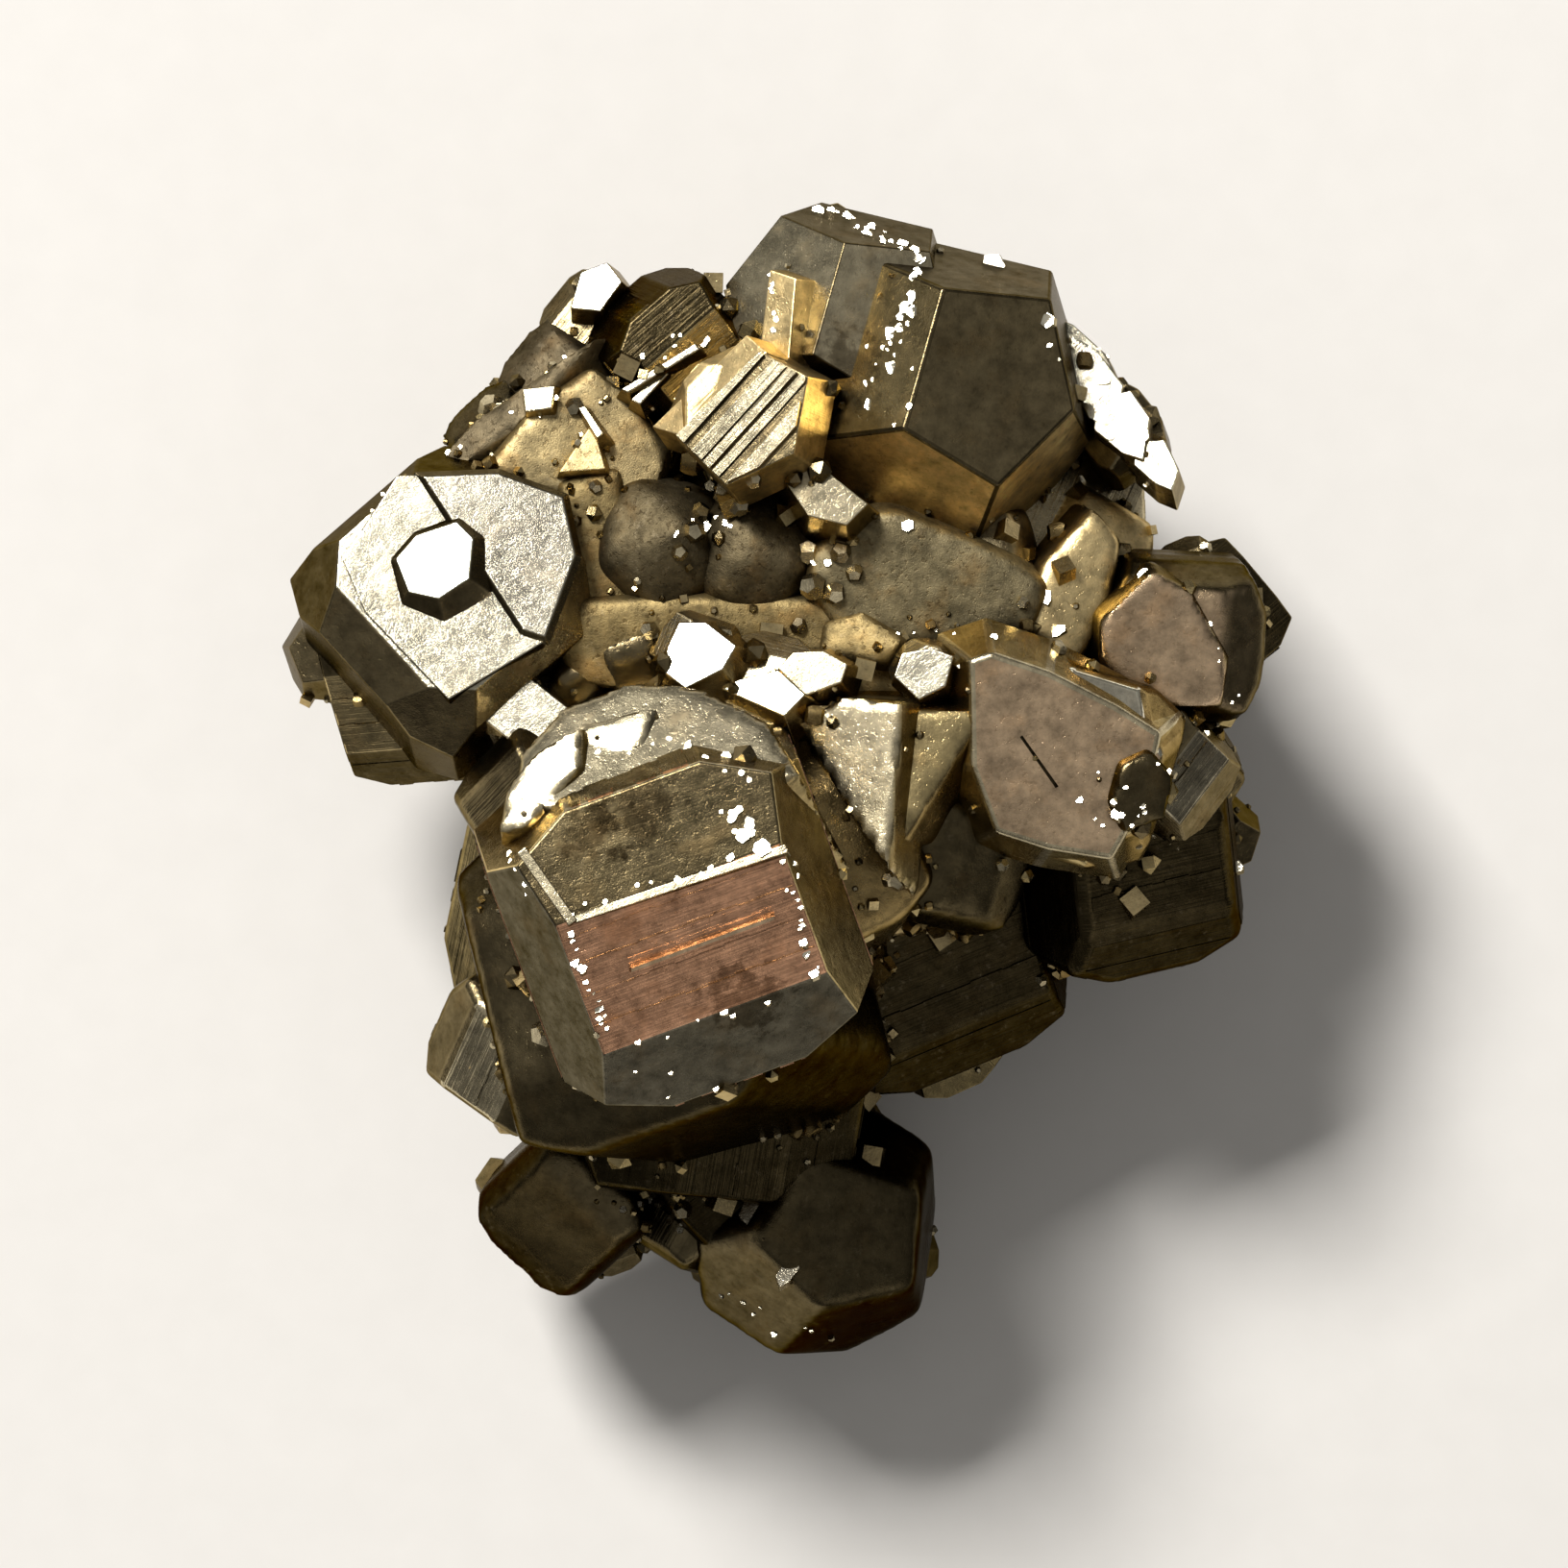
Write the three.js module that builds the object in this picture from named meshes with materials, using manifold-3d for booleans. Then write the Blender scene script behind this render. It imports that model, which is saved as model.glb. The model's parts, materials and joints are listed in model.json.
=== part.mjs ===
// A small raw pyrite cluster: crystals grown together into one broken-off lump.
// Millimetres, +Z up. The cluster is seen from above in the photograph: +X is
// to the right there, +Y is up the picture, and +Z points at the viewer.
import * as THREE from 'three';
import { ConvexGeometry } from 'three/addons/geometries/ConvexGeometry.js';
import { mergeVertices } from 'three/addons/utils/BufferGeometryUtils.js';
import Module from 'manifold-3d';

const wasm = await Module();
wasm.setup();

// The lump is about 25 mm long. One picture unit of the photograph is 0.14 mm.
const FLOOR_LEVEL = 0;
const ROOM = 60;
const GOLDEN_TURN = 137.5;

// Every crystal has its middle, the compass direction of its stripes, how far
// its top cube face leans and towards which compass direction, and how far the
// cube, pyritohedron and octahedron faces stand from the middle.
const SHOWN_CRYSTALS = [
  { name: 'front', at: [-2.5, -2.6, 11.6], stripes: 20, lean: 18, towards: -66, cube: 3.4, pyrite: 3.7 },
  { name: 'front shoulder', at: [-2.5, -4.2, 8.6], stripes: 17, lean: 28, towards: 171, cube: 3.55, pyrite: 4.0 },
  { name: 'front right flank', at: [0.3, -1.7, 9.0], stripes: 25, lean: 14, towards: 60, cube: 2.25, pyrite: 2.45 },
  { name: 'front left foot', at: [-5.7, -5.6, 8.4], stripes: 60, lean: 35, towards: -150, cube: 1.55, pyrite: 1.7 },
  { name: 'front left brow', at: [-5.3, -0.7, 10.2], stripes: 40, lean: 40, towards: 160, cube: 1.35, pyrite: 1.45 },
  { name: 'mirror', at: [-7.2, 3.4, 8.4], stripes: -48, lean: 13, towards: 94, cube: 2.6, pyrite: 3.1, octa: 3.35 },
  { name: 'mirror foot', at: [-7.7, 2.2, 6.7], stripes: 10, lean: 35, towards: -130, cube: 1.95, pyrite: 2.15 },
  { name: 'crown', at: [3.15, 8.05, 8.7], stripes: 75, lean: 13.5, towards: 130, pyrite: 2.75 },
  { name: 'crown twin', at: [1.1, 9.45, 8.4], stripes: 75, lean: 13.5, towards: 130, pyrite: 2.2 },
  { name: 'crown step', at: [0.85, 6.3, 8.0], stripes: 60, lean: 20, towards: 120, cube: 1.1, pyrite: 1.2 },
  { name: 'bars', at: [-1.05, 7.35, 10.6], stripes: 46, lean: 18, towards: 140, cube: 1.2, pyrite: 1.5, octa: 1.45 },
  { name: 'dusk', at: [-2.5, 8.95, 8.7], stripes: 40, lean: 22, towards: -30, cube: 1.4, pyrite: 1.5 },
  { name: 'left button', at: [-2.8, 4.75, 9.2], stripes: 80, lean: 25, towards: -60, cube: 1.42, pyrite: 1.5, octa: 1.42 },
  { name: 'right button', at: [-0.85, 4.6, 9.2], stripes: 20, lean: 25, towards: -80, cube: 1.38, pyrite: 1.45, octa: 1.38 },
  { name: 'white facet', at: [-1.95, 2.45, 10.6], stripes: 70, lean: 20, towards: 130, cube: 0.84, pyrite: 0.85 },
  { name: 'white wedge', at: [-0.4, 1.8, 10.5], stripes: -15, lean: 22, towards: 125, cube: 0.98, pyrite: 1.05 },
  { name: 'bright bead', at: [2.75, 2.1, 10.6], stripes: 30, lean: 24, towards: 110, cube: 0.65, pyrite: 0.7, octa: 0.7 },
  { name: 'pale chip', at: [-5.6, 1.25, 9.5], stripes: 25, lean: 25, towards: 120, cube: 0.85, pyrite: 0.92 },
  { name: 'dark bead', at: [-4.55, 1.95, 9.5], stripes: 70, lean: 25, towards: -60, cube: 0.63, pyrite: 0.7, octa: 0.7 },
  { name: 'brown bead', at: [-3.35, 2.4, 9.5], stripes: 20, lean: 15, towards: -70, cube: 0.77, pyrite: 0.84 },
  { name: 'spearhead', at: [2.1, 0.15, 10.1], stripes: -47, lean: 48, towards: -92, cube: 2.5, octa: 1.5 },
  { name: 'spear back', at: [3.2, 1.1, 9.5], stripes: 20, lean: 25, towards: 30, cube: 0.85, pyrite: 0.9 },
  { name: 'scratched', at: [5.8, 0.35, 9.2], stripes: -17, lean: 9, towards: -60, cube: 2.0, pyrite: 2.3, octa: 2.5 },
  { name: 'glinting', at: [7.7, 0.15, 8.4], stripes: 50, lean: 30, towards: -20, cube: 1.25, pyrite: 1.35 },
  { name: 'rose', at: [8.1, 2.95, 8.1], stripes: 87, lean: 12, towards: -61, cube: 1.7, pyrite: 1.85 },
  { name: 'rose back', at: [8.7, 3.2, 6.7], stripes: 40, lean: 30, towards: 40, cube: 1.4, pyrite: 1.5 },
  { name: 'brown wall', at: [3.15, -1.55, 8.7], stripes: 75, lean: 28, towards: -30, cube: 1.6, pyrite: 1.7 },
  { name: 'toe', at: [0.5, -9.7, 4.2], stripes: -14, lean: 36, towards: 50, pyrite: 2.4 },
  { name: 'toe left', at: [-4.75, -9.1, 4.5], stripes: -45, lean: 25, towards: -120, cube: 1.55, pyrite: 1.75 },
  { name: 'toe link', at: [-2.25, -9.4, 4.2], stripes: 60, lean: 25, towards: 160, cube: 1.1, pyrite: 1.25 },
  { name: 'ridge low', at: [-5.95, 6.95, 7.6], stripes: 40, lean: 22, towards: 150, cube: 1.12, pyrite: 1.2 },
  { name: 'ridge middle', at: [-4.85, 8.2, 7.6], stripes: 52, lean: 28, towards: 140, cube: 1.1, pyrite: 1.18 },
  { name: 'ridge end', at: [-4.2, 9.5, 7.3], stripes: 52, lean: 20, towards: 130, cube: 0.9, pyrite: 1.0 },
  { name: 'shaded', at: [6.85, -1.55, 6.4], stripes: 10, lean: 25, towards: -40, cube: 2.4, pyrite: 2.6 },
  { name: 'olive saddle', at: [2.95, 3.5, 7.3], stripes: 15, lean: 12, towards: -60, cube: 2.4, pyrite: 2.65 },
  { name: 'golden hollow', at: [-4.75, 6.3, 7.0], stripes: 30, lean: 20, towards: -100, cube: 1.8, pyrite: 2.05 },
  { name: 'golden corner', at: [6.15, 4.6, 7.0], stripes: 60, lean: 25, towards: 60, cube: 1.25, pyrite: 1.35 },
  { name: 'crown side', at: [6.95, 7.15, 7.35], stripes: -53, lean: 20, towards: 119, cube: 0.85, pyrite: 0.95 },
];

// Larger crystals that carry the shown ones and make the sides and underside.
const BODY_CRYSTALS = [
  { name: 'middle', at: [0, 0.4, 5.0], stripes: 12, lean: 20, towards: 30, cube: 4.5, pyrite: 4.8 },
  { name: 'west', at: [-3.4, 2.6, 5.6], stripes: 50, lean: 24, towards: 190, cube: 3.2, pyrite: 3.5 },
  { name: 'south west', at: [-3.6, -2.2, 5.0], stripes: 75, lean: 30, towards: -120, cube: 3.2, pyrite: 3.5 },
  { name: 'north', at: [0.4, 6.0, 5.3], stripes: 25, lean: 18, towards: 95, cube: 3.2, pyrite: 3.4 },
  { name: 'north east', at: [3.6, 4.6, 5.2], stripes: 65, lean: 26, towards: 60, cube: 3.2, pyrite: 3.5 },
  { name: 'east', at: [5.6, 0.6, 5.0], stripes: 35, lean: 22, towards: -10, cube: 3.0, pyrite: 3.3 },
  { name: 'east shoulder', at: [7.2, 2.4, 6.0], stripes: 5, lean: 30, towards: 20, cube: 1.9, pyrite: 2.1 },
  { name: 'south', at: [-1.6, -5.8, 5.0], stripes: 82, lean: 24, towards: -80, cube: 3.0, pyrite: 3.3 },
  { name: 'south east', at: [2.4, -3.2, 4.8], stripes: 20, lean: 28, towards: -50, cube: 2.8, pyrite: 3.1 },
  { name: 'toe neck', at: [-0.8, -8.3, 4.2], stripes: 40, lean: 20, towards: -90, cube: 2.1, pyrite: 2.3 },
  { name: 'mirror root', at: [-5.4, 3.6, 6.0], stripes: 15, lean: 32, towards: 170, cube: 2.5, pyrite: 2.7 },
  { name: 'ridge root', at: [-3.6, 7.4, 6.0], stripes: 70, lean: 26, towards: 130, cube: 2.1, pyrite: 2.3 },
  { name: 'crown root', at: [2.3, 7.6, 5.9], stripes: 48, lean: 22, towards: 80, cube: 2.5, pyrite: 2.7 },
  { name: 'heel north', at: [-0.6, 3.0, 2.9], stripes: 30, lean: 8, towards: 70, cube: 3.3, pyrite: 3.5 },
  { name: 'heel south', at: [-0.4, -2.2, 2.9], stripes: 66, lean: 10, towards: -110, cube: 3.3, pyrite: 3.5 },
  { name: 'heel east', at: [2.7, 0.5, 2.8], stripes: 10, lean: 9, towards: 0, cube: 3.1, pyrite: 3.3 },
];

// Small crystals seeded on the lower flanks of the larger ones.
const SEEDS_PER_SHOWN = 2;
const SEEDS_PER_BODY = 6;
const LARGEST_SEED = 1.15;
const SMALLEST_HOST = 1.5;

function compass(degrees, tilt) {
  const turn = THREE.MathUtils.degToRad(degrees);
  const fall = THREE.MathUtils.degToRad(tilt);
  const flat = Math.sin(fall);
  return new THREE.Vector3(flat * Math.cos(turn), flat * Math.sin(turn), Math.cos(fall));
}

// The stripes lie along the crystal's third axis and its first axis points up,
// before the whole crystal leans over.
function crystalAxes({ stripes, lean, towards }) {
  const up = new THREE.Vector3(0, 0, 1);
  const third = compass(stripes, 90);
  const second = third.clone().cross(up);
  const hinge = up.clone().cross(compass(towards, 90));
  const tip = new THREE.Quaternion().setFromAxisAngle(hinge, THREE.MathUtils.degToRad(lean));
  return [up, second, third].map((axis) => axis.clone().applyQuaternion(tip));
}

function faceDirections(cube, pyrite, octa) {
  const faces = [];
  const signs = [1, -1];
  for (let axis = 0; axis < 3; axis += 1) {
    for (const sign of signs) {
      const onAxis = [0, 0, 0];
      onAxis[axis] = sign;
      faces.push({ along: onAxis, reach: cube });
      for (const side of signs) {
        const onEdge = [0, 0, 0];
        onEdge[axis] = 2 * sign;
        onEdge[(axis + 1) % 3] = side;
        faces.push({ along: onEdge, reach: pyrite });
      }
    }
  }
  for (const first of signs) {
    for (const second of signs) {
      for (const third of signs) {
        faces.push({ along: [first, second, third], reach: octa });
      }
    }
  }
  return faces.filter((face) => face.reach !== undefined);
}

function crystalPlanes(crystal) {
  const axes = crystalAxes(crystal);
  const middle = new THREE.Vector3(...crystal.at);
  return faceDirections(crystal.cube, crystal.pyrite, crystal.octa).map((face) => {
    const normal = new THREE.Vector3();
    axes.forEach((axis, index) => normal.addScaledVector(axis, face.along[index]));
    normal.normalize();
    return new THREE.Plane(normal, -face.reach - normal.dot(middle));
  });
}

function meetingPoint(a, b, c) {
  const system = new THREE.Matrix3().set(
    a.normal.x, a.normal.y, a.normal.z,
    b.normal.x, b.normal.y, b.normal.z,
    c.normal.x, c.normal.y, c.normal.z,
  );
  if (Math.abs(system.determinant()) < 1e-4) return null;
  return new THREE.Vector3(-a.constant, -b.constant, -c.constant).applyMatrix3(system.invert());
}

// The corners of a crystal are the points where three of its faces meet and
// that lie outside none of the others.
function cornersOf(planes) {
  const corners = [];
  for (let i = 0; i < planes.length; i += 1) {
    for (let j = i + 1; j < planes.length; j += 1) {
      for (let k = j + 1; k < planes.length; k += 1) {
        const point = meetingPoint(planes[i], planes[j], planes[k]);
        const inside = point && planes.every((plane) => plane.distanceToPoint(point) < 1e-5);
        const isNew = inside && corners.every((corner) => corner.distanceTo(point) > 1e-3);
        if (isNew) corners.push(point);
      }
    }
  }
  return corners;
}

function solidOf(geometry) {
  const bare = geometry.clone();
  bare.deleteAttribute('normal');
  bare.deleteAttribute('uv');
  const merged = mergeVertices(bare, 1e-5);
  const mesh = new wasm.Mesh({
    numProp: 3,
    vertProperties: new Float32Array(merged.attributes.position.array),
    triVerts: new Uint32Array(merged.index.array),
  });
  return new wasm.Manifold(mesh);
}

function crystalSolid(crystal) {
  return solidOf(new ConvexGeometry(cornersOf(crystalPlanes(crystal))));
}

// Seeds sit just under the skin of their host, turned on from one to the next
// by the golden angle so that no two look alike.
function seedsOn(host, hostNumber, count) {
  const reach = host.pyrite ?? host.octa;
  const seeds = [];
  for (let i = 0; i < count; i += 1) {
    const turn = (hostNumber * 5 + i) * GOLDEN_TURN;
    const size = Math.min(LARGEST_SEED, reach * (0.3 + 0.07 * (i % 3)));
    const outward = compass(turn, 118 + 14 * (i % 4));
    const middle = new THREE.Vector3(...host.at).addScaledVector(outward, reach * 0.98);
    seeds.push({
      at: middle.toArray(),
      stripes: turn * 1.7,
      lean: 12 + 9 * (i % 4),
      towards: turn * 2.3,
      cube: i % 3 === 1 ? size * 0.94 : undefined,
      pyrite: i % 3 === 2 ? undefined : size,
      octa: i % 3 === 2 ? size * 0.95 : undefined,
    });
  }
  return seeds;
}

function allCrystals() {
  const list = [...SHOWN_CRYSTALS, ...BODY_CRYSTALS];
  SHOWN_CRYSTALS.forEach((host, number) => {
    if ((host.pyrite ?? host.octa) > SMALLEST_HOST) list.push(...seedsOn(host, number, SEEDS_PER_SHOWN));
  });
  BODY_CRYSTALS.forEach((host, number) => {
    list.push(...seedsOn(host, number, SEEDS_PER_BODY));
  });
  return list;
}

// The flat spot that the cluster rests on is a broken plane across the heels.
function aboveFloor() {
  const box = new THREE.BoxGeometry(ROOM, ROOM, ROOM);
  box.translate(0, 0, FLOOR_LEVEL + ROOM / 2);
  return solidOf(box);
}

// Only the outer skin is kept: a pocket sealed inside solid pyrite is filled.
function outerSkin(solid) {
  const { vertProperties, triVerts, numProp } = solid.getMesh();
  const vertexCount = vertProperties.length / numProp;
  const leader = Array.from({ length: vertexCount }, (_, index) => index);
  const find = (index) => {
    let top = index;
    while (leader[top] !== top) top = leader[top];
    leader[index] = top;
    return top;
  };
  for (let t = 0; t < triVerts.length; t += 3) {
    leader[find(triVerts[t + 1])] = find(triVerts[t]);
    leader[find(triVerts[t + 2])] = find(triVerts[t]);
  }
  const shells = new Map();
  for (let t = 0; t < triVerts.length; t += 3) {
    const key = find(triVerts[t]);
    if (!shells.has(key)) shells.set(key, []);
    shells.get(key).push(triVerts[t], triVerts[t + 1], triVerts[t + 2]);
  }
  const largest = [...shells.values()].sort((a, b) => b.length - a.length)[0];
  const geometry = new THREE.BufferGeometry();
  const positions = new Float32Array(vertexCount * 3);
  for (let v = 0; v < vertexCount; v += 1) {
    for (let axis = 0; axis < 3; axis += 1) positions[v * 3 + axis] = vertProperties[v * numProp + axis];
  }
  geometry.setAttribute('position', new THREE.BufferAttribute(positions, 3));
  geometry.setIndex(largest);
  return geometry;
}

function clusterGeometry() {
  const joined = allCrystals().map(crystalSolid).reduce((whole, next) => whole.add(next));
  const geometry = outerSkin(joined.intersect(aboveFloor())).toNonIndexed();
  geometry.computeVertexNormals();
  return geometry;
}

const pyrite = new THREE.MeshStandardMaterial({ color: 0x8f8463, roughness: 0.35, metalness: 1 });
const cluster = new THREE.Mesh(clusterGeometry(), pyrite);
cluster.name = 'pyrite_cluster';

const part = new THREE.Group();
part.add(cluster);
export default part;
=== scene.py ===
# %% [markdown]
# # A small raw pyrite cluster
# The real object is one lump of pyrite, about 25 mm long, in which some forty crystals have grown
# through one another. Pyrite grows as cubes, as pyritohedra with twelve five-sided faces, and as
# mixtures of the two, and its cube faces carry fine parallel stripes. The whole lump is metal bright,
# tarnished here and there. This lesson cuts every crystal from a block by its own planes, rules the
# stripes, joins all of it into one closed mesh, sprinkles crumb crystals into the gaps, and finishes it
# with one metal made of nodes.

# %% Load the shared frame
import json
import math
import random

import bmesh
import bpy
import numpy as np
from mathutils import Matrix, Quaternion, Vector
from mathutils.bvhtree import BVHTree

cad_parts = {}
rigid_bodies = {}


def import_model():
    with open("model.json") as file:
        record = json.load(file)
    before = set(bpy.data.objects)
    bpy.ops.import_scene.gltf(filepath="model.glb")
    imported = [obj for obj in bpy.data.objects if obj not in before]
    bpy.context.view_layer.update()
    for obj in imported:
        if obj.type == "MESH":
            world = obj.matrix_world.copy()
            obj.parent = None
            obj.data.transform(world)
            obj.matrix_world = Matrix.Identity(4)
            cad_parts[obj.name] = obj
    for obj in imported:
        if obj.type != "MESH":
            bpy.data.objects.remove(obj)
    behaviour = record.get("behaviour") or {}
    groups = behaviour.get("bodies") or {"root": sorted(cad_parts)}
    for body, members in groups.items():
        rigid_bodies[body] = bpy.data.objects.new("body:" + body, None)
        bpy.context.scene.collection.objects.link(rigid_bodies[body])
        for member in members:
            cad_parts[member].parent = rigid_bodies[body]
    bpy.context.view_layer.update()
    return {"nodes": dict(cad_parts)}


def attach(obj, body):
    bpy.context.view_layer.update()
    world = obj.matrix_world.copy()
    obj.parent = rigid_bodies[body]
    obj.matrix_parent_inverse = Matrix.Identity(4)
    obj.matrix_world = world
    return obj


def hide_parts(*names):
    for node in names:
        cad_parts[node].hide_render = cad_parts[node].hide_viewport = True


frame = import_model()
print("nodes of the CAD model:", ", ".join(frame["nodes"]))

# %% [markdown]
# Many of Blender's mesh operators take points closer than a ten-thousandth of a unit for one point. In
# metres that is a tenth of a millimetre, which is a lot on crystals of a few millimetres. So the
# modelling is done with one unit for one millimetre, and the finished mesh is shrunk to metres in a
# single step at the end. One seeded generator makes every random choice, so each run gives the same
# lump.

# %% Units and chance
METRES_PER_MM = 0.001
chance = random.Random(1963)
scene = bpy.context.scene


def deselect_all():
    """Operators act on all that is selected, and the loaded node is selected at first."""
    for thing in bpy.context.selected_objects:
        thing.select_set(False)


deselect_all()
print("modelling in millimetres")

# %% [markdown]
# The photograph looks straight down on the lump, from far enough away that it hardly shows any
# perspective. A long lens does the same here. Up in the picture is +Y in the frame. The camera comes
# first, so that everything after it can be judged through it.

# %% Camera
# the picture is this many metres wide at the point that it looks at
VIEW_WIDTH = 0.033
LENS = 200.0
SENSOR = 36.0
LOOK_AT = Vector((-0.0002, -0.0002, 0.0085))

eye = bpy.data.cameras.new("photo_view")
eye.lens = LENS
eye.sensor_width = SENSOR
eye.clip_start = 0.01
eye.clip_end = 10.0
camera = bpy.data.objects.new("photo_view", eye)
camera.location = LOOK_AT + Vector((0, 0, VIEW_WIDTH * LENS / SENSOR))
scene.collection.objects.link(camera)
scene.camera = camera
scene.view_settings.view_transform = "Standard"
print("camera height above the floor:", round(camera.location.z, 3), "m")

# %% [markdown]
# Both the lights and the metal are made of nodes, and a node tree written by hand gets long. Two small
# helpers keep it readable. One wraps a socket and turns Python's arithmetic into Math nodes. The other
# holds the tree of a material or of the world, and makes any node from its type, its settings and its
# inputs.

# %% Node helpers


class Value:
    """A number that changes over the surface, with arithmetic that adds Math nodes."""

    def __init__(self, tree, socket):
        self.tree = tree
        self.socket = socket

    def maths(self, operation, first, second):
        """One Math node on two values or plain numbers."""
        node = self.tree.nodes.new("ShaderNodeMath")
        node.operation = operation
        for place, given in enumerate((first, second)):
            if isinstance(given, Value):
                self.tree.links.new(given.socket, node.inputs[place])
            else:
                node.inputs[place].default_value = given
        return Value(self.tree, node.outputs[0])

    def __add__(self, other):
        return self.maths("ADD", self, other)

    __radd__ = __add__

    def __mul__(self, other):
        return self.maths("MULTIPLY", self, other)

    __rmul__ = __mul__

    def __sub__(self, other):
        return self.maths("SUBTRACT", self, other)

    def __rsub__(self, other):
        return self.maths("SUBTRACT", other, self)


class Nodes:
    """The node tree of a material or of the world, under construction."""

    def __init__(self, owner):
        owner.use_nodes = True
        self.tree = owner.node_tree

    def node(self, kind, settings=None, inputs=None):
        """Any node: its type, its settings first, then the values or links of its sockets."""
        node = self.tree.nodes.new(kind)
        for key, value in (settings or {}).items():
            setattr(node, key, value)
        self.feed(node, inputs or {})
        return node

    def feed(self, node, inputs):
        """Set or link the sockets of a node."""
        for key, value in inputs.items():
            if isinstance(value, Value):
                self.tree.links.new(value.socket, node.inputs[key])
            elif isinstance(value, bpy.types.NodeSocket):
                self.tree.links.new(value, node.inputs[key])
            else:
                node.inputs[key].default_value = value

    def value(self, socket):
        """A socket of this tree, ready for arithmetic."""
        return Value(self.tree, socket)

    def noise(self, vector, scale, detail=3.0, roughness=0.55):
        """A noise value from 0 to 1, mostly near a half."""
        node = self.node("ShaderNodeTexNoise", inputs={
            "Vector": vector, "Scale": scale, "Detail": detail, "Roughness": roughness,
        })
        return self.value(node.outputs["Fac"])

    def ramp(self, value, low, high):
        """0 below low, 1 above high, smooth between."""
        node = self.node("ShaderNodeMapRange", {"interpolation_type": "SMOOTHSTEP"}, {
            "Value": value, "From Min": low, "From Max": high,
        })
        return self.value(node.outputs["Result"])

    def blend(self, factor, first, second, mode="MIX"):
        """Mix two colours."""
        settings = {"data_type": "RGBA", "blend_type": mode}
        return self.node("ShaderNodeMix", settings, {0: factor, 6: first, 7: second}).outputs[2]


print("helpers ready")

# %% [markdown]
# Polished metal shows what is around it more than it shows itself, so the lights are half of the
# material. One rather small softbox stands up and to the left, as in the photograph: its mirror image
# is what makes some faces flash white. A weak grey surround and a dim sheet on the far side keep the
# other faces readable, and leave them dark enough to look like metal.

# %% Lights
KEY_DIRECTION = (122.0, 42.0)
KEY_DISTANCE = 0.55
FILL_DIRECTION = (-60.0, 62.0)
FILL_DISTANCE = 0.8
SKY_COLOUR = (1.0, 0.98, 0.95)
SKY_DIM = 0.09
SKY_BRIGHT = 0.34
BRIGHT_SIDE = (-0.12, 0.16, 0.98)
BRIGHT_EDGE = 0.25


def compass(turn, tilt):
    """Unit vector at a compass angle from +X and a tilt down from straight up, in degrees."""
    flat = math.sin(math.radians(tilt))
    return Vector((
        flat * math.cos(math.radians(turn)),
        flat * math.sin(math.radians(turn)),
        math.cos(math.radians(tilt)),
    ))


def softbox(name, direction, distance, size, power, colour):
    """A square area light that looks at the lump from a compass direction."""
    data = bpy.data.lights.new(name, "AREA")
    data.size = size
    data.energy = power
    data.color = colour
    lamp = bpy.data.objects.new(name, data)
    towards = compass(*direction)
    lamp.location = LOOK_AT + distance * towards
    lamp.rotation_mode = "QUATERNION"
    lamp.rotation_quaternion = (-towards).to_track_quat("-Z", "Y")
    scene.collection.objects.link(lamp)


softbox("key", KEY_DIRECTION, KEY_DISTANCE, size=0.14, power=4.6, colour=(1.0, 0.975, 0.94))
softbox("far_fill", FILL_DIRECTION, FILL_DISTANCE, size=0.5, power=0.5, colour=(1.0, 0.96, 0.9))

# the surround is brightest overhead and falls off towards the floor
world = bpy.data.worlds.new("studio")
scene.world = world
sky = Nodes(world)
outward = sky.node("ShaderNodeTexCoord").outputs["Generated"]
facing = sky.node("ShaderNodeVectorMath", {"operation": "DOT_PRODUCT"}, {0: outward, 1: BRIGHT_SIDE})
strength = sky.node("ShaderNodeMapRange", inputs={
    "Value": facing.outputs["Value"], "From Min": BRIGHT_EDGE, "From Max": 1.0,
    "To Min": SKY_DIM, "To Max": SKY_BRIGHT,
})
sky.feed(sky.tree.nodes["Background"], {
    "Color": (*SKY_COLOUR, 1.0), "Strength": strength.outputs["Result"],
})

# %% [markdown]
# A crystal is easiest to think of from its middle: which way its three axes point, and how far out each
# kind of face stands. The four numbers that turn it are the compass direction of its stripes, how far
# its top face leans, and towards where. A cube face lies across one axis. A pyritohedron face leans
# from one axis towards the next, two to one. An octahedron face leans equally to all three.

# %% Axes and faces of a crystal
CUBE = 0
PYRITE = 1
OCTA = 2


def crystal_axes(stripes, lean, towards):
    """First axis up, third axis along the stripes, then the whole crystal tips over."""
    up = Vector((0, 0, 1))
    third = compass(stripes, 90)
    second = third.cross(up)
    hinge = up.cross(compass(towards, 90))
    tip = Quaternion(hinge, math.radians(lean))
    return [tip @ up, tip @ second, tip @ third]


def face_list(cube, pyrite, octa):
    """Every face as its kind, its axis, its direction on the three axes and its reach."""
    faces = []
    for axis in range(3):
        for sign in (1, -1):
            on_axis = [0, 0, 0]
            on_axis[axis] = sign
            faces.append((CUBE, axis, on_axis, cube))
            for side in (1, -1):
                on_edge = [0, 0, 0]
                on_edge[axis] = 2 * sign
                on_edge[(axis + 1) % 3] = side
                faces.append((PYRITE, axis, on_edge, pyrite))
    for first in (1, -1):
        for second in (1, -1):
            for third in (1, -1):
                faces.append((OCTA, 0, [first, second, third], octa))
    return [face for face in faces if face[3]]


def world_direction(axes, on_axes):
    """A direction given on the crystal's axes, turned into the frame."""
    return sum((axes[i] * on_axes[i] for i in range(3)), Vector()).normalized()


print("faces of a crystal with all three kinds:", len(face_list(1, 1, 1)))
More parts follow.
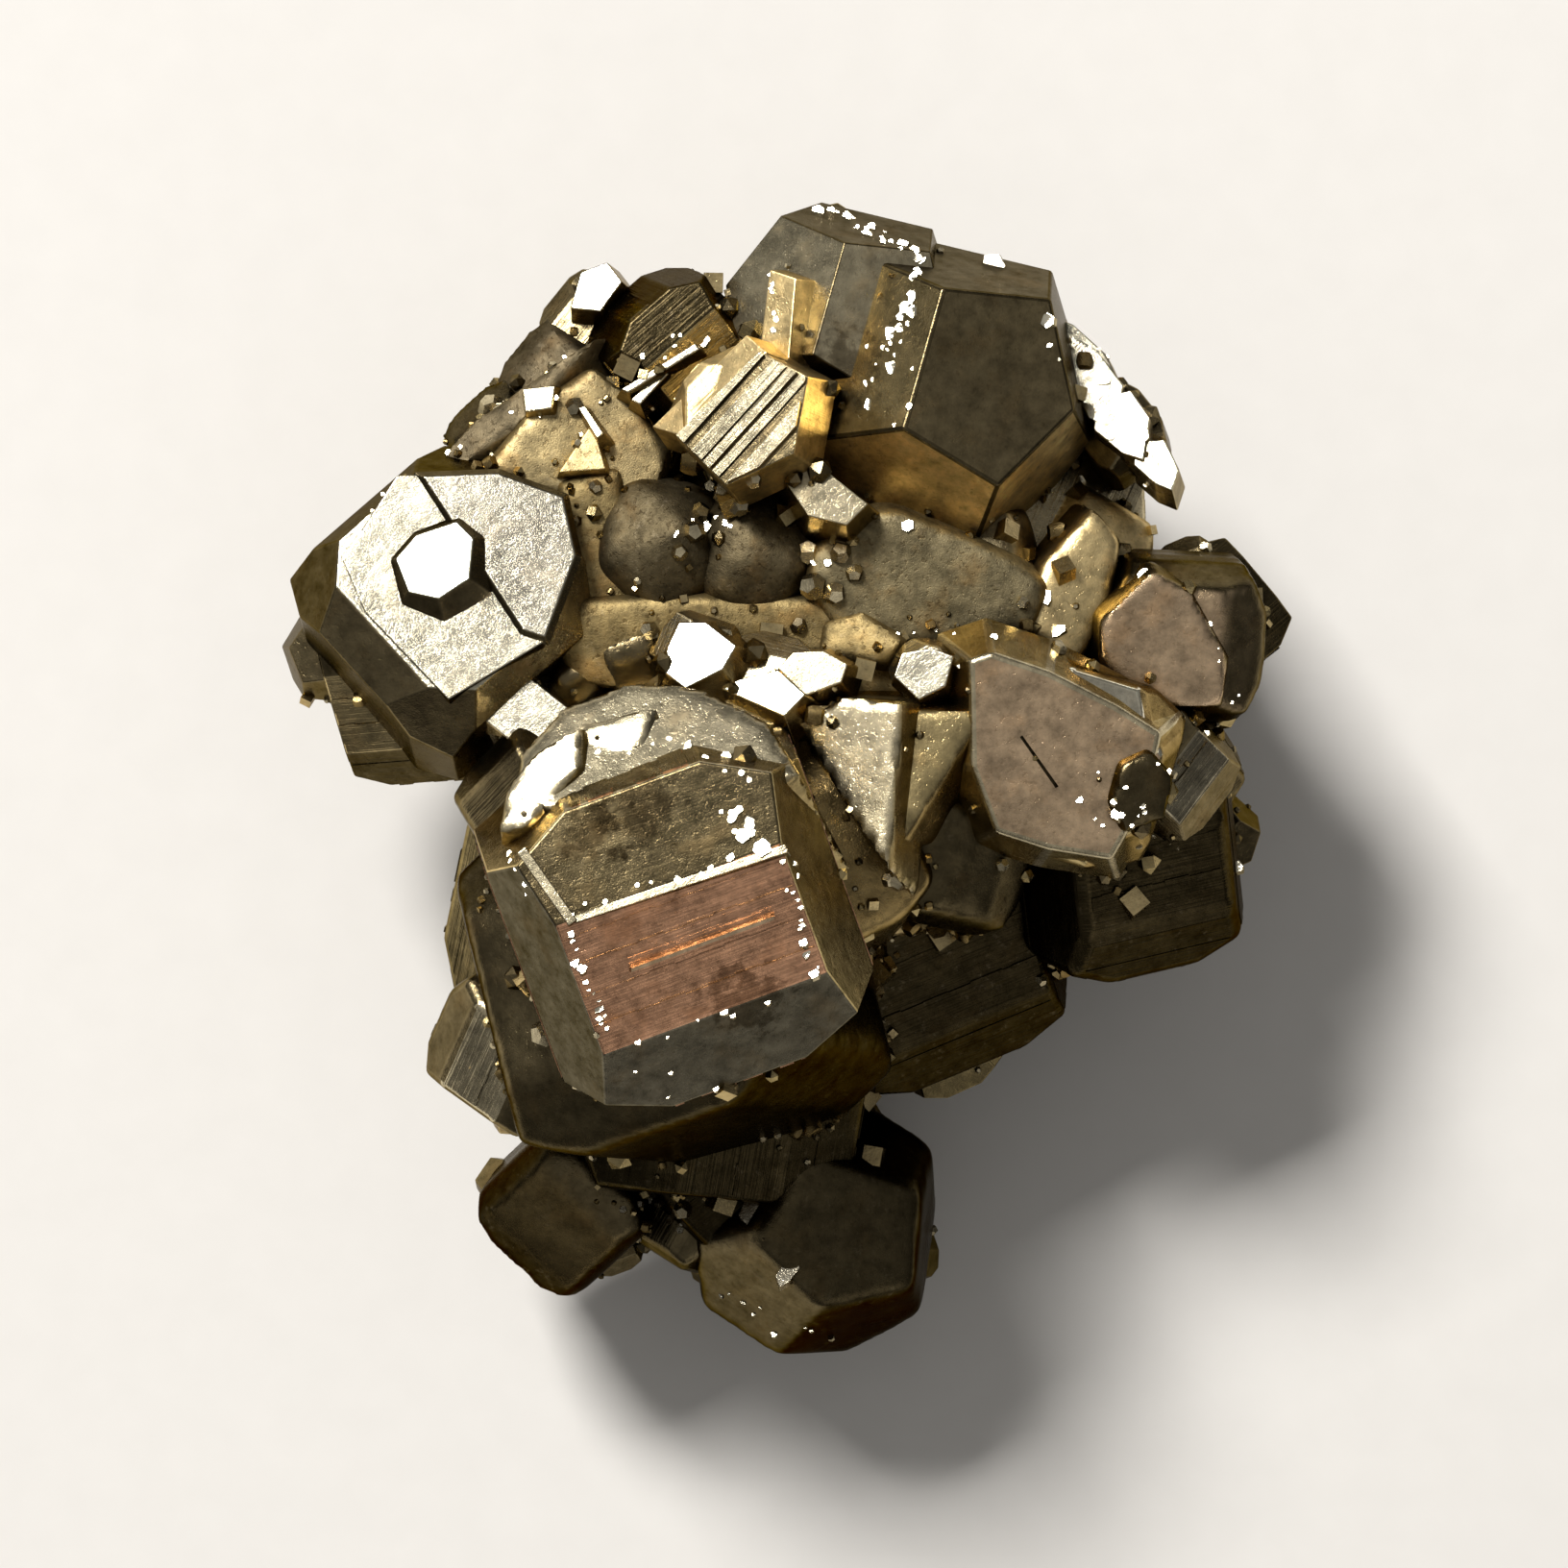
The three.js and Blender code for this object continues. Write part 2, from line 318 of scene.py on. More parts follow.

# %% [markdown]
# The tints are what the faces look like when they mirror a plain grey surround. Fresh pyrite is a pale
# brass. Tarnish takes it towards olive, brown or a copper rose, and a few faces are nearly black. The
# dark and black tints also stand as painted shade on crystals that lie in deep shade. Each tint also
# says how polished the face is, because fresh faces are mirrors and tarnished ones are satin.

# %% Tints of the faces
# red, green and blue of the reflection, and the polish: 0.8 is a mirror, 0.3 is satin, below zero is matt
TINTS = {
    "mirror": ((0.80, 0.74, 0.58), 0.8),
    "silver": ((0.31, 0.288, 0.22), 0.58),
    "pale": ((0.56, 0.485, 0.32), 0.5),
    "cream": ((0.38, 0.333, 0.222), 0.5),
    "brass": ((0.60, 0.47, 0.24), 0.6),
    "gold": ((0.64, 0.49, 0.24), 0.3),
    "rose": ((0.58, 0.32, 0.19), 0.42),
    "olive": ((0.42, 0.33, 0.16), 0.55),
    "pewter": ((0.245, 0.228, 0.18), 0.58),
    "straw": ((0.34, 0.30, 0.21), 0.6),
    "moss": ((0.215, 0.178, 0.10), -0.3),
    "soot": ((0.125, 0.10, 0.06), -0.25),
    "ochre": ((0.29, 0.22, 0.10), -0.3),
    "honey": ((0.44, 0.345, 0.175), -0.2),
    "coal": ((0.125, 0.112, 0.08), 0.4),
    "slate": ((0.17, 0.15, 0.11), 0.3),
    "stone": ((0.24, 0.195, 0.115), -0.2),
    "umber": ((0.12, 0.096, 0.054), -0.4),
    "amber": ((0.80, 0.62, 0.31), 0.25),
    "pink": ((0.67, 0.49, 0.31), 0.4),
    "brown": ((0.30, 0.215, 0.09), 0.5),
    "dusk": ((0.19, 0.15, 0.08), 0.55),
    # dark and black also serve as painted shade on the crystals that lie in shade
    "dark": ((0.10, 0.078, 0.04), 0.5),
    "black": ((0.045, 0.034, 0.016), 0.5),
}
print("tints:", ", ".join(TINTS))

# %% [markdown]
# Every crystal is first written down as a plain record, and only cut later, so that one list can be
# read, changed and handed to the same few functions. The places and reaches are those of the CAD node.
# What is added here is only looks: the tints, how far apart the stripes are ruled and how high they
# stand, and how worn the edges are.

# %% The record of a crystal


def crystal(name, at, stripes, lean, towards, cube=None, pyrite=None, octa=None, **looks):
    """One crystal as a plain record: place, turn, reach of each kind of face, and looks.

    faces lists the faces with a tint of their own, by tilt and compass direction, and edge is the tint of
    the bevels. A gap of None leaves the faces without stripes, and plain keeps them off the pyritohedron
    faces. soft says how many times a worn crystal is smoothed.
    """
    facts = {
        "name": name, "at": Vector(at), "stripes": stripes, "lean": lean, "towards": towards,
        "cube": cube, "pyrite": pyrite, "octa": octa,
        "tint": "brass", "faces": [], "edge": None, "plain": False,
        "gap": 0.42, "rise": 0.03, "bevel": 0.05, "rounds": 2, "soft": 0,
    }
    facts.update(looks)
    return facts


print("entries in a crystal's record:", len(crystal("sample", (0, 0, 0), 0, 0, 0)))

# %% [markdown]
# The largest crystal stands in front, with a copper-rose face across its top and worn shoulders on both
# sides. Behind it, on the left, lies the big flat mirror. Both are placed by their faces: the turn and
# the lean are set so that the edges between the faces fall where the photograph has them.

# %% The front crystal and the mirror
SHOWN = [
    crystal("front", (-2.5, -2.6, 11.6), 20, 18, -66, 3.4, 3.7, tint="dark", gap=0.4, bevel=0.06,
            plain=True, faces=[
                (17, -66, "rose"), (8, 102, "dark"), (44, -68, "coal"), (72, 109, "pale"), (66, 11, "olive"),
                (74, 82, "pale"), (73, 137, "brass"), (63, -150, "coal"),
            ]),
    # painted shade: the black tint darkens the low front shoulder, which lies in shade
    crystal("front shoulder", (-2.5, -4.2, 8.6), 17, 28, 171, 3.55, 4.0, tint="black", soft=24,
            faces=[(28, -130, "dark"), (28, 170, "dusk")]),
    crystal("front right flank", (0.3, -1.7, 9.0), 25, 14, 60, 2.25, 2.45, tint="brown", soft=30,
            faces=[(21, -35, "brown"), (13, 59, "brown")]),
    crystal("front left foot", (-5.7, -5.6, 8.4), 60, 35, -150, 1.55, 1.7, tint="dusk", bevel=0.15,
            rounds=3, plain=True, faces=[(35, -149, "pale")]),
    crystal("front left brow", (-5.3, -0.7, 10.2), 40, 40, 160, 1.35, 1.45, tint="dusk", bevel=0.15,
            rounds=3, plain=True, faces=[(40, 160, "dusk")]),
    crystal("mirror", (-7.2, 3.4, 8.4), -48, 13, 94, 2.6, 3.1, 3.35, tint="dark", gap=None, faces=[
        (12, 93, "silver"), (53, -42, "pale"), (54, 6, "pale"), (41, -94, "dusk"), (21, -165, "dusk"),
    ]),
    crystal("mirror foot", (-7.7, 2.2, 6.7), 10, 35, -130, 1.95, 2.15, tint="dark",
            faces=[(35, -130, "brass")]),
]
print("front and mirror:", len(SHOWN), "crystals")

# %% [markdown]
# At the back two crystals have grown side by side and make the crown, the plainest block of the lump.
# They are pyritohedra without stripes. Beside them sit a step, the small barred crystal and a dark one.

# %% The crown
SHOWN += [
    # painted light: two lower faces take the bright amber tint, which lifts them out of the shade they lie
    # in; painted shade: the dark edge tint keeps the bevels from flashing
    crystal("crown", (3.15, 8.05, 8.7), 75, 13.5, 130, None, 2.75, tint="dark", gap=None, bevel=0.07,
            edge="dark", faces=[
                (17, 10, "dusk"), (56, -111, "amber"), (38, 154, "olive"), (76, -41, "amber"),
                (71, 79, "slate"),
            ]),
    # painted shade: the dark edge tint keeps the twin's bevels from flashing
    crystal("crown twin", (1.1, 9.45, 8.4), 75, 13.5, 130, None, 2.2, tint="dusk", gap=None, bevel=0.03,
            edge="dark", faces=[(38, 154, "cream"), (17, 10, "pale"), (71, 79, "slate")]),
    crystal("crown step", (0.85, 6.3, 8.0), 60, 20, 120, 1.1, 1.2, tint="pale"),
    crystal("bars", (-1.05, 7.35, 10.6), 46, 18, 140, 1.2, 1.5, 1.45, tint="gold"),
    crystal("dusk", (-2.5, 8.95, 8.7), 40, 22, -30, 1.4, 1.5, tint="black", faces=[
        (21, -29, "olive"), (9, 79, "black"),
    ]),
]
print("with the crown:", len(SHOWN), "crystals")

# %% [markdown]
# The valley in the middle holds two dark crystals worn round like buttons, some small bright ones, and
# a spearhead that points to the front. Worn crystals are cut like the others and smoothed afterwards,
# which keeps a trace of their faces.

# %% The middle
SHOWN += [
    crystal("left button", (-2.8, 4.75, 9.2), 80, 25, -60, 1.42, 1.5, 1.42, tint="umber", soft=30),
    crystal("right button", (-0.85, 4.6, 9.2), 20, 25, -80, 1.38, 1.45, 1.38, tint="umber", soft=30),
    crystal("white facet", (-1.95, 2.45, 10.6), 70, 20, 130, 0.84, 0.85, tint="pale"),
    crystal("white wedge", (-0.4, 1.8, 10.5), -15, 22, 125, 0.98, 1.05, tint="pale"),
    crystal("bright bead", (2.75, 2.1, 10.6), 30, 24, 110, 0.65, 0.7, 0.7, tint="pale"),
    crystal("pale chip", (-5.6, 1.25, 9.5), 25, 25, 120, 0.85, 0.92, tint="pale"),
    crystal("dark bead", (-4.55, 1.95, 9.5), 70, 25, -60, 0.63, 0.7, 0.7, tint="dusk", soft=12),
    crystal("brown bead", (-3.35, 2.4, 9.5), 20, 15, -70, 0.77, 0.84, tint="dusk", soft=14),
    crystal("spearhead", (2.1, 0.15, 10.1), -47, 48, -92, 2.5, None, 1.5, tint="brown", soft=6,
            faces=[(6, 87, "olive"), (67, -154, "cream"), (58, 144, "pale")]),
    crystal("spear back", (3.2, 1.1, 9.5), 20, 25, 30, 0.85, 0.9, tint="brown"),
]
print("with the middle:", len(SHOWN), "crystals")

# %% [markdown]
# The right end has a broad pinkish crystal with a rim like a mirror, a rounded rosy one behind it, and
# a brown wall below. The toe sticks out at the front. The brown wall's dark tint and the toe's
# near-black one are painted shade, the shade that these low crystals lie in.

# %% The right end and the toe
SHOWN += [
    crystal("scratched", (5.8, 0.35, 9.2), -17, 9, -60, 2.0, 2.3, 2.5, tint="brown", gap=None, bevel=0.16,
            rounds=3, faces=[
                (9, -60, "pink"), (21, 56, "mirror"), (33, -96, "olive"), (45, 117, "mirror"),
                (57, 166, "brass"), (54, -145, "brass"),
            ]),
    crystal("glinting", (7.7, 0.15, 8.4), 50, 30, -20, 1.25, 1.35, tint="dusk",
            faces=[(30, -19, "straw")]),
    crystal("rose", (8.1, 2.95, 8.1), 87, 12, -61, 1.7, 1.85, tint="dark", soft=8, faces=[
        (11, -60, "pink"), (34, -18, "dusk"), (22, -157, "brown"),
    ]),
    crystal("rose back", (8.7, 3.2, 6.7), 40, 30, 40, 1.4, 1.5, tint="dark"),
    # painted shade: the brown wall's dark tint stands for the shade it lies in
    crystal("brown wall", (3.15, -1.55, 8.7), 75, 28, -30, 1.6, 1.7, tint="dark", soft=14),
    # painted shade: the toe's black tint stands for the shade it lies in
    crystal("toe", (0.5, -9.7, 4.2), -14, 36, 50, None, 2.4, tint="black", soft=26, faces=[
        (16, 5, "dark"), (54, -130, "dusk"), (53, 143, "dusk"),
    ]),
    # painted shade: the black tint of the toe's left neighbour stands for the shade it lies in
    crystal("toe left", (-4.75, -9.1, 4.5), -45, 25, -120, 1.55, 1.75, tint="black", soft=14,
            faces=[(24, -119, "brown"), (6, -23, "dusk")]),
    crystal("toe link", (-2.25, -9.4, 4.2), 60, 25, 160, 1.1, 1.25, tint="dusk", bevel=0.15),
]
print("with the right end and the toe:", len(SHOWN), "crystals")

# %% [markdown]
# What is left lies lower: the three crystals under the long ridge on the left, a large one in the
# shade, the worn floors of the hollows, and a small one that carries the ragged edge beside the crown.
# The black tint of the one in the shade is painted shade.

# %% The ridge, the hollows and the shade
SHOWN += [
    crystal("ridge low", (-5.95, 6.95, 7.6), 40, 22, 150, 1.12, 1.2, tint="dark", soft=5),
    crystal("ridge middle", (-4.85, 8.2, 7.6), 52, 28, 140, 1.1, 1.18, tint="soot", soft=5),
    crystal("ridge end", (-4.2, 9.5, 7.3), 52, 20, 130, 0.9, 1.0, tint="dusk"),
    # painted shade: the shaded crystal's black tint stands for the shade it lies in
    crystal("shaded", (6.85, -1.55, 6.4), 10, 25, -40, 2.4, 2.6, tint="black", bevel=0.25, rounds=3),
    crystal("olive saddle", (2.95, 3.5, 7.3), 15, 12, -60, 2.4, 2.65, tint="dusk", soft=40,
            faces=[(11, -59, "olive"), (67, 9, "amber"), (15, 93, "stone"), (60, -158, "olive")]),
    crystal("golden hollow", (-4.75, 6.3, 7.0), 30, 20, -100, 1.8, 2.05, tint="amber", soft=10),
    crystal("golden corner", (6.15, 4.6, 7.0), 60, 25, 60, 1.25, 1.35, tint="amber", soft=10),
    crystal("crown side", (6.95, 7.15, 7.35), -53, 20, 119, 0.85, 0.95, tint="dusk"),
]
print("shown crystals:", len(SHOWN))

# %% [markdown]
# Under the shown crystals lie larger ones, which carry them and make the sides and the underside. The
# photograph hides them, so they are plain members of the same family. They too have the CAD node's
# places and reaches.

# %% The body crystals
BODY = [
    crystal("middle", (0, 0.4, 5.0), 12, 20, 30, 4.5, 4.8),
    crystal("west", (-3.4, 2.6, 5.6), 50, 24, 190, 3.2, 3.5),
    crystal("south west", (-3.6, -2.2, 5.0), 75, 30, -120, 3.2, 3.5),
    crystal("north", (0.4, 6.0, 5.3), 25, 18, 95, 3.2, 3.4),
    crystal("north east", (3.6, 4.6, 5.2), 65, 26, 60, 3.2, 3.5),
    crystal("east", (5.6, 0.6, 5.0), 35, 22, -10, 3.0, 3.3),
    crystal("east shoulder", (7.2, 2.4, 6.0), 5, 30, 20, 1.9, 2.1),
    crystal("south", (-1.6, -5.8, 5.0), 82, 24, -80, 3.0, 3.3),
    crystal("south east", (2.4, -3.2, 4.8), 20, 28, -50, 2.8, 3.1),
    crystal("toe neck", (-0.8, -8.3, 4.2), 40, 20, -90, 2.1, 2.3),
    crystal("mirror root", (-5.4, 3.6, 6.0), 15, 32, 170, 2.5, 2.7),
    crystal("ridge root", (-3.6, 7.4, 6.0), 70, 26, 130, 2.1, 2.3),
    crystal("crown root", (2.3, 7.6, 5.9), 48, 22, 80, 2.5, 2.7),
    crystal("heel north", (-0.6, 3.0, 2.9), 30, 8, 70, 3.3, 3.5),
    crystal("heel south", (-0.4, -2.2, 2.9), 66, 10, -110, 3.3, 3.5),
    crystal("heel east", (2.7, 0.5, 2.8), 10, 9, 0, 3.1, 3.3),
]
BODY_TINTS = {
    "middle": "gold", "west": "gold", "north": "olive", "north east": "pale", "south west": "olive",
}
BODY_GAP = 0.55
BODY_BEVEL = 0.12
# painted shade: these low crystals take the black tint for the deep shade that they lie in
SHADE_PAINTED_BODIES = ("south", "south east", "toe neck", "heel south", "heel east")
for facts in BODY:
    other_tint = "black" if facts["name"] in SHADE_PAINTED_BODIES else "dusk"
    facts["tint"] = BODY_TINTS.get(facts["name"], other_tint)
    facts["gap"] = BODY_GAP
    facts["bevel"] = BODY_BEVEL
print("body crystals:", len(BODY))

# %% [markdown]
# Small crystals are seeded on the lower flanks of the large ones, each turned on from the last by the
# golden angle so that no two look alike. The rule is the CAD node's own, so these match it too.

# %% The seed crystals
SEEDS_PER_SHOWN = 2
SEEDS_PER_BODY = 6
LARGEST_SEED = 1.15
SMALLEST_HOST = 1.5
GOLDEN_TURN = 137.5
UNDER_THE_SKIN = 0.98
SEED_SIZE, SIZE_STEP = 0.3, 0.07
SEED_TILT, TILT_STEP = 118, 14
SEED_LEAN, LEAN_STEP = 12, 9
CUBE_SHARE, OCTA_SHARE = 0.94, 0.95
# these only keep the turns of neighbouring seeds apart
HOST_STEP, STRIPES_STEP, TOWARDS_STEP = 5, 1.7, 2.3
SEED_TINTS = ("olive", "dusk", "brown", "brass")


def seeds_on(host, number, count):
    """Small crystals just under the skin of a host, on its lower half.

    In turn they are a pyritohedron, a cube with pyritohedron faces, and an octahedron. The remainders of
    the count vary their size, place and lean.
    """
    reach = host["pyrite"] or host["octa"]
    seeds = []
    for i in range(count):
        turn = (number * HOST_STEP + i) * GOLDEN_TURN
        size = min(LARGEST_SEED, reach * (SEED_SIZE + SIZE_STEP * (i % 3)))
        middle = host["at"] + compass(turn, SEED_TILT + TILT_STEP * (i % 4)) * reach * UNDER_THE_SKIN
        lean = SEED_LEAN + LEAN_STEP * (i % 4)
        seeds.append(crystal(
            f"seed {number} {i}", middle, turn * STRIPES_STEP, lean, turn * TOWARDS_STEP,
            cube=size * CUBE_SHARE if i % 3 == 1 else None,
            pyrite=None if i % 3 == 2 else size,
            octa=size * OCTA_SHARE if i % 3 == 2 else None,
            tint=SEED_TINTS[(number + i) % 4], gap=None, bevel=0.03,
        ))
    return seeds


SEEDS = []
for number, host in enumerate(SHOWN):
    if (host["pyrite"] or host["octa"]) > SMALLEST_HOST:
        SEEDS += seeds_on(host, number, SEEDS_PER_SHOWN)
for number, host in enumerate(BODY):
    SEEDS += seeds_on(host, number, SEEDS_PER_BODY)
print("seed crystals:", len(SEEDS))

# %% [markdown]
# Cutting a crystal is a stonecutter's job: a rough cube is put at the crystal's place, and one plane
# after another takes a slice off it. Blender's Bisect does exactly that, with Fill closing the cut and
# Clear Outer throwing the slice away. A crystal is convex, so every cut leaves one clean flat face. A
# small bevel then takes the razor edge off, because real crystal edges catch the light as thin bright
# lines.

# %% Cut one crystal
CUT_THRESHOLD = 1e-5


def pick_faces(piece, wanted):
    """In edit mode, select just the faces for which wanted(face) is true."""
    net = bmesh.from_edit_mesh(piece.data)
    for face in net.faces:
        face.select_set(False)
    count = 0
    for face in net.faces:
        if wanted(face):
            face.select_set(True)
            count += 1
    bmesh.update_edit_mesh(piece.data)
    return count


def cut_block(middle, size, planes, bevel, rounds=2):
    """A rough cube, sliced by every plane and softened at the edges. It stays in edit mode."""
    deselect_all()
    bpy.ops.mesh.primitive_cube_add(size=size, location=middle)
    piece = bpy.context.object
    bpy.ops.object.transform_apply(location=True, rotation=True, scale=True)
    bpy.ops.object.mode_set(mode="EDIT")
    bpy.ops.mesh.select_mode(type="FACE")
    for spot, normal in planes:
        bpy.ops.mesh.select_all(action="SELECT")
        bpy.ops.mesh.bisect(
            plane_co=spot, plane_no=normal, use_fill=True, clear_outer=True, threshold=CUT_THRESHOLD,
        )
    if bevel:
        bpy.ops.mesh.select_all(action="SELECT")
        bpy.ops.mesh.bevel(offset=bevel, segments=rounds, affect="EDGES", clamp_overlap=True)
    return piece


print("a crystal is one block and up to", len(face_list(1, 1, 1)), "cuts")

# %% [markdown]
# The stripes on a cube face run along the edge that it shares with the pyritohedron face next to it.
# They are tiny stairs where the crystal hesitated between the two. Ruling them takes two steps. Bisect
# draws parallel lines over the chosen face, at slightly uneven distances, and then every other strip is
# extruded a few hundredths of a millimetre. Strips that touch are never raised together, so each keeps
# its own small walls.

# %% Rule the stripes
# the cosine between two normals that count as the same face
FLAT_MATCH = 0.9995
# in gaps: the narrowest face that is ruled, its first and last strip, and the widths between them
NARROWEST_FACE = 2.2
FIRST_STRIP = (0.4, 1.0)
LAST_STRIP = 0.35
STRIP_WIDTHS = (0.45, 0.7, 1.0, 1.3)
# of every four strips the second and the fourth are raised, the fourth less
RAISED_STRIPS = ((1, 1.0), (3, 0.55))
# faces that look further down than this get no stripes, and pyritohedron faces get lower ones
LOWEST_STRIPED = -0.5
PYRITE_RISE = 0.5


def rule_stripes(piece, middle, normal, across, gap, rise, narrow=1.0):
    """Draw uneven parallel lines over the face with this normal and raise every other strip.

    With narrow below 1, the strips that stay low are that much narrower.
    """
    net = bmesh.from_edit_mesh(piece.data)
    spots = [
        (vert.co - middle).dot(across)
        for face in net.faces if face.normal.dot(normal) > FLAT_MATCH for vert in face.verts
    ]
    if not spots or max(spots) - min(spots) < NARROWEST_FACE * gap:
        return 0
    low, high = min(spots), max(spots)
    lines = []
    spot = low + gap * chance.uniform(*FIRST_STRIP)
    while spot < high - LAST_STRIP * gap:
        lines.append(spot)
        spot += gap * chance.choice(STRIP_WIDTHS) * (narrow if len(lines) % 2 == 0 else 1.0)
    for line in lines:
        pick_faces(piece, lambda face: face.normal.dot(normal) > FLAT_MATCH)
        bpy.ops.mesh.bisect(plane_co=middle + across * line, plane_no=across, threshold=CUT_THRESHOLD)

    def strip_number(face):
        return sum(line < (face.calc_center_median() - middle).dot(across) for line in lines)

    for turn, share in RAISED_STRIPS:
        found = pick_faces(
            piece,
            lambda face: face.normal.dot(normal) > FLAT_MATCH and strip_number(face) % 4 == turn,
        )
        if found:
            bpy.ops.mesh.extrude_region_move(
                TRANSFORM_OT_translate={"value": normal * rise * share}
            )
    return len(lines)


def stripe_crystal(piece, facts, axes):
    """Rule the stripes on the cube and pyritohedron faces that don't look far down."""
    lines = 0
    for kind, axis, on_axes, _ in face_list(facts["cube"], facts["pyrite"], facts["octa"]):
        normal = world_direction(axes, on_axes)
        if kind == OCTA or normal.z < LOWEST_STRIPED or (facts["plain"] and kind == PYRITE):
            continue
        along = axes[(axis + 2) % 3]
        across = normal.cross(along)
        rise = facts["rise"] * (1.0 if kind == CUBE else PYRITE_RISE)
        lines += rule_stripes(piece, facts["at"], normal, across, facts["gap"], rise)
    return lines


print("stripes are ruled on cube and pyritohedron faces")

# %% [markdown]
# Every face then gets three notes for the material to read later. A colour attribute holds its tint. A
# second one says how strongly it is striped, whether it is a worn edge, and how polished it is. A UV
# map holds, in millimetres, the distance along and across the stripes, so that finer lines than the
# modelled ones can follow each face's own direction. Writing them before the join is what makes this
# easy, because the join keeps them.

# %% Notes for the material
# a bevelled edge is this much brighter than its face, partly as fresh metal on a rubbed edge and partly
# as a painted highlight
EDGE_LIFT = 1.3
# the cosine within which a face takes the tint that is listed for a direction
FACE_MATCH = 0.995
# a worn crystal: its net in millimetres, how far each smoothing goes, and how sharply tints meet on it
NET_SIZE = 0.13
WEAR_STEP = 0.5
BLEND_SHARPNESS = 26.0
# each piece's growth map starts somewhere else, so that no two have the same lines
MAP_SLIDE = 40


def tint_of(facts, normal, shade):
    """The tint and polish of one face: its own where the crystal names one, else the crystal's."""
    name = facts["tint"]
    for tilt, turn, own in facts["faces"]:
        if normal.dot(compass(turn, tilt)) > FACE_MATCH:
            name = own
    colour, polish = TINTS[name]
    return [min(1.0, channel * shade) for channel in colour], polish


def write_notes(mesh, tints, finishes, places):
    """Store the three notes on the corners of a mesh."""
    mesh.color_attributes.new("tint", "FLOAT_COLOR", "CORNER").data.foreach_set("color", tints)
    mesh.color_attributes.new("finish", "FLOAT_COLOR", "CORNER").data.foreach_set("color", finishes)
    while mesh.uv_layers:
        mesh.uv_layers.remove(mesh.uv_layers[0])
    mesh.uv_layers.new(name="growth").data.foreach_set("uv", places)


def soften(piece, rounds):
    """Round a crystal off as wear does: an even net of small faces, smoothed again and again."""
    net = piece.modifiers.new("even_net", "REMESH")
    net.mode = "VOXEL"
    net.voxel_size = NET_SIZE
    bpy.ops.object.modifier_apply(modifier=net.name)
    wear = piece.modifiers.new("wear", "SMOOTH")
    wear.factor = WEAR_STEP
    wear.iterations = rounds
    bpy.ops.object.modifier_apply(modifier=wear.name)


def note_soft(piece, middle, faces):
    """The same notes for a rounded piece: each point takes a blend of the faces it leans towards."""
    normals = np.array([face[0] for face in faces])
    colours = np.array([(*face[2], face[3]) for face in faces])
    along = faces[0][1]
    across = faces[0][0].cross(along).normalized()
    slide = chance.uniform(0, MAP_SLIDE)
    blended, spots = [], []
    for vertex in piece.data.vertices:
        match = normals @ np.array(vertex.normal)
        weight = np.exp(BLEND_SHARPNESS * (match - match.max()))
        blended.append(weight @ colours / weight.sum())
        spot = vertex.co - middle
        spots.append((spot.dot(along) + slide, spot.dot(across) + slide))
    tints, finishes, places = [], [], []
    for loop in piece.data.loops:
        red, green, blue, polish = blended[loop.vertex_index]
        tints += [red, green, blue, 1.0]
        finishes += [0.0, 0.0, polish, 1.0]
        places += spots[loop.vertex_index]
    write_notes(piece.data, tints, finishes, places)


def note_faces(piece, middle, faces, edge=None):
    """Match each polygon to a face (normal, along, tint, polish, striped) and write its notes."""
    normals = np.array([face[0] for face in faces])
    slide = chance.uniform(0, MAP_SLIDE)
    tints, finishes, places = [], [], []
    for polygon in piece.data.polygons:
        match = normals @ np.array(polygon.normal)
        best = int(match.argmax())
        normal, along, colour, polish, striped = faces[best]
        is_edge = match[best] < FLAT_MATCH
        across = normal.cross(along).normalized()
        # painted highlight: a bevel takes its face's tint lifted, unless edge names a tint, which then
        # paints it lighter or darker
        lifted = [min(1.0, channel * EDGE_LIFT) for channel in colour]
        edge_colour = TINTS[edge][0] if edge else lifted
        for corner in polygon.vertices:
            spot = piece.data.vertices[corner].co - middle
            tints += [*(edge_colour if is_edge else colour), 1.0]
            finishes += [striped, 1.0 if is_edge else 0.0, polish, 1.0]
            places += [spot.dot(along) + slide, spot.dot(across) + slide]
    write_notes(piece.data, tints, finishes, places)


print("notes: tint, finish and growth")

# %% [markdown]
# Now every record becomes a crystal. The finished ones wait in a collection of their own, the workshop,
# because the join can take a whole collection at once. Each face gets a slightly different shade, as on
# the real lump, where no two faces are tarnished alike.

# %% Cut, stripe and note every crystal
ROUGH_BLOCK = 4.5
SHADES = (0.86, 1.1)
# how strongly the fine lines of the material show, by the kind of face
CUBE_LINES, PYRITE_LINES, PLAIN_LINES, NO_LINES = 1.0, 0.6, 0.1, 0.0
workshop = bpy.data.collections.new("workshop")
scene.collection.children.link(workshop)


def put_away(piece, shelf):
    """Move a piece into a collection, out of the scene's own list."""
    for home in list(piece.users_collection):
        home.objects.unlink(piece)
    shelf.objects.link(piece)


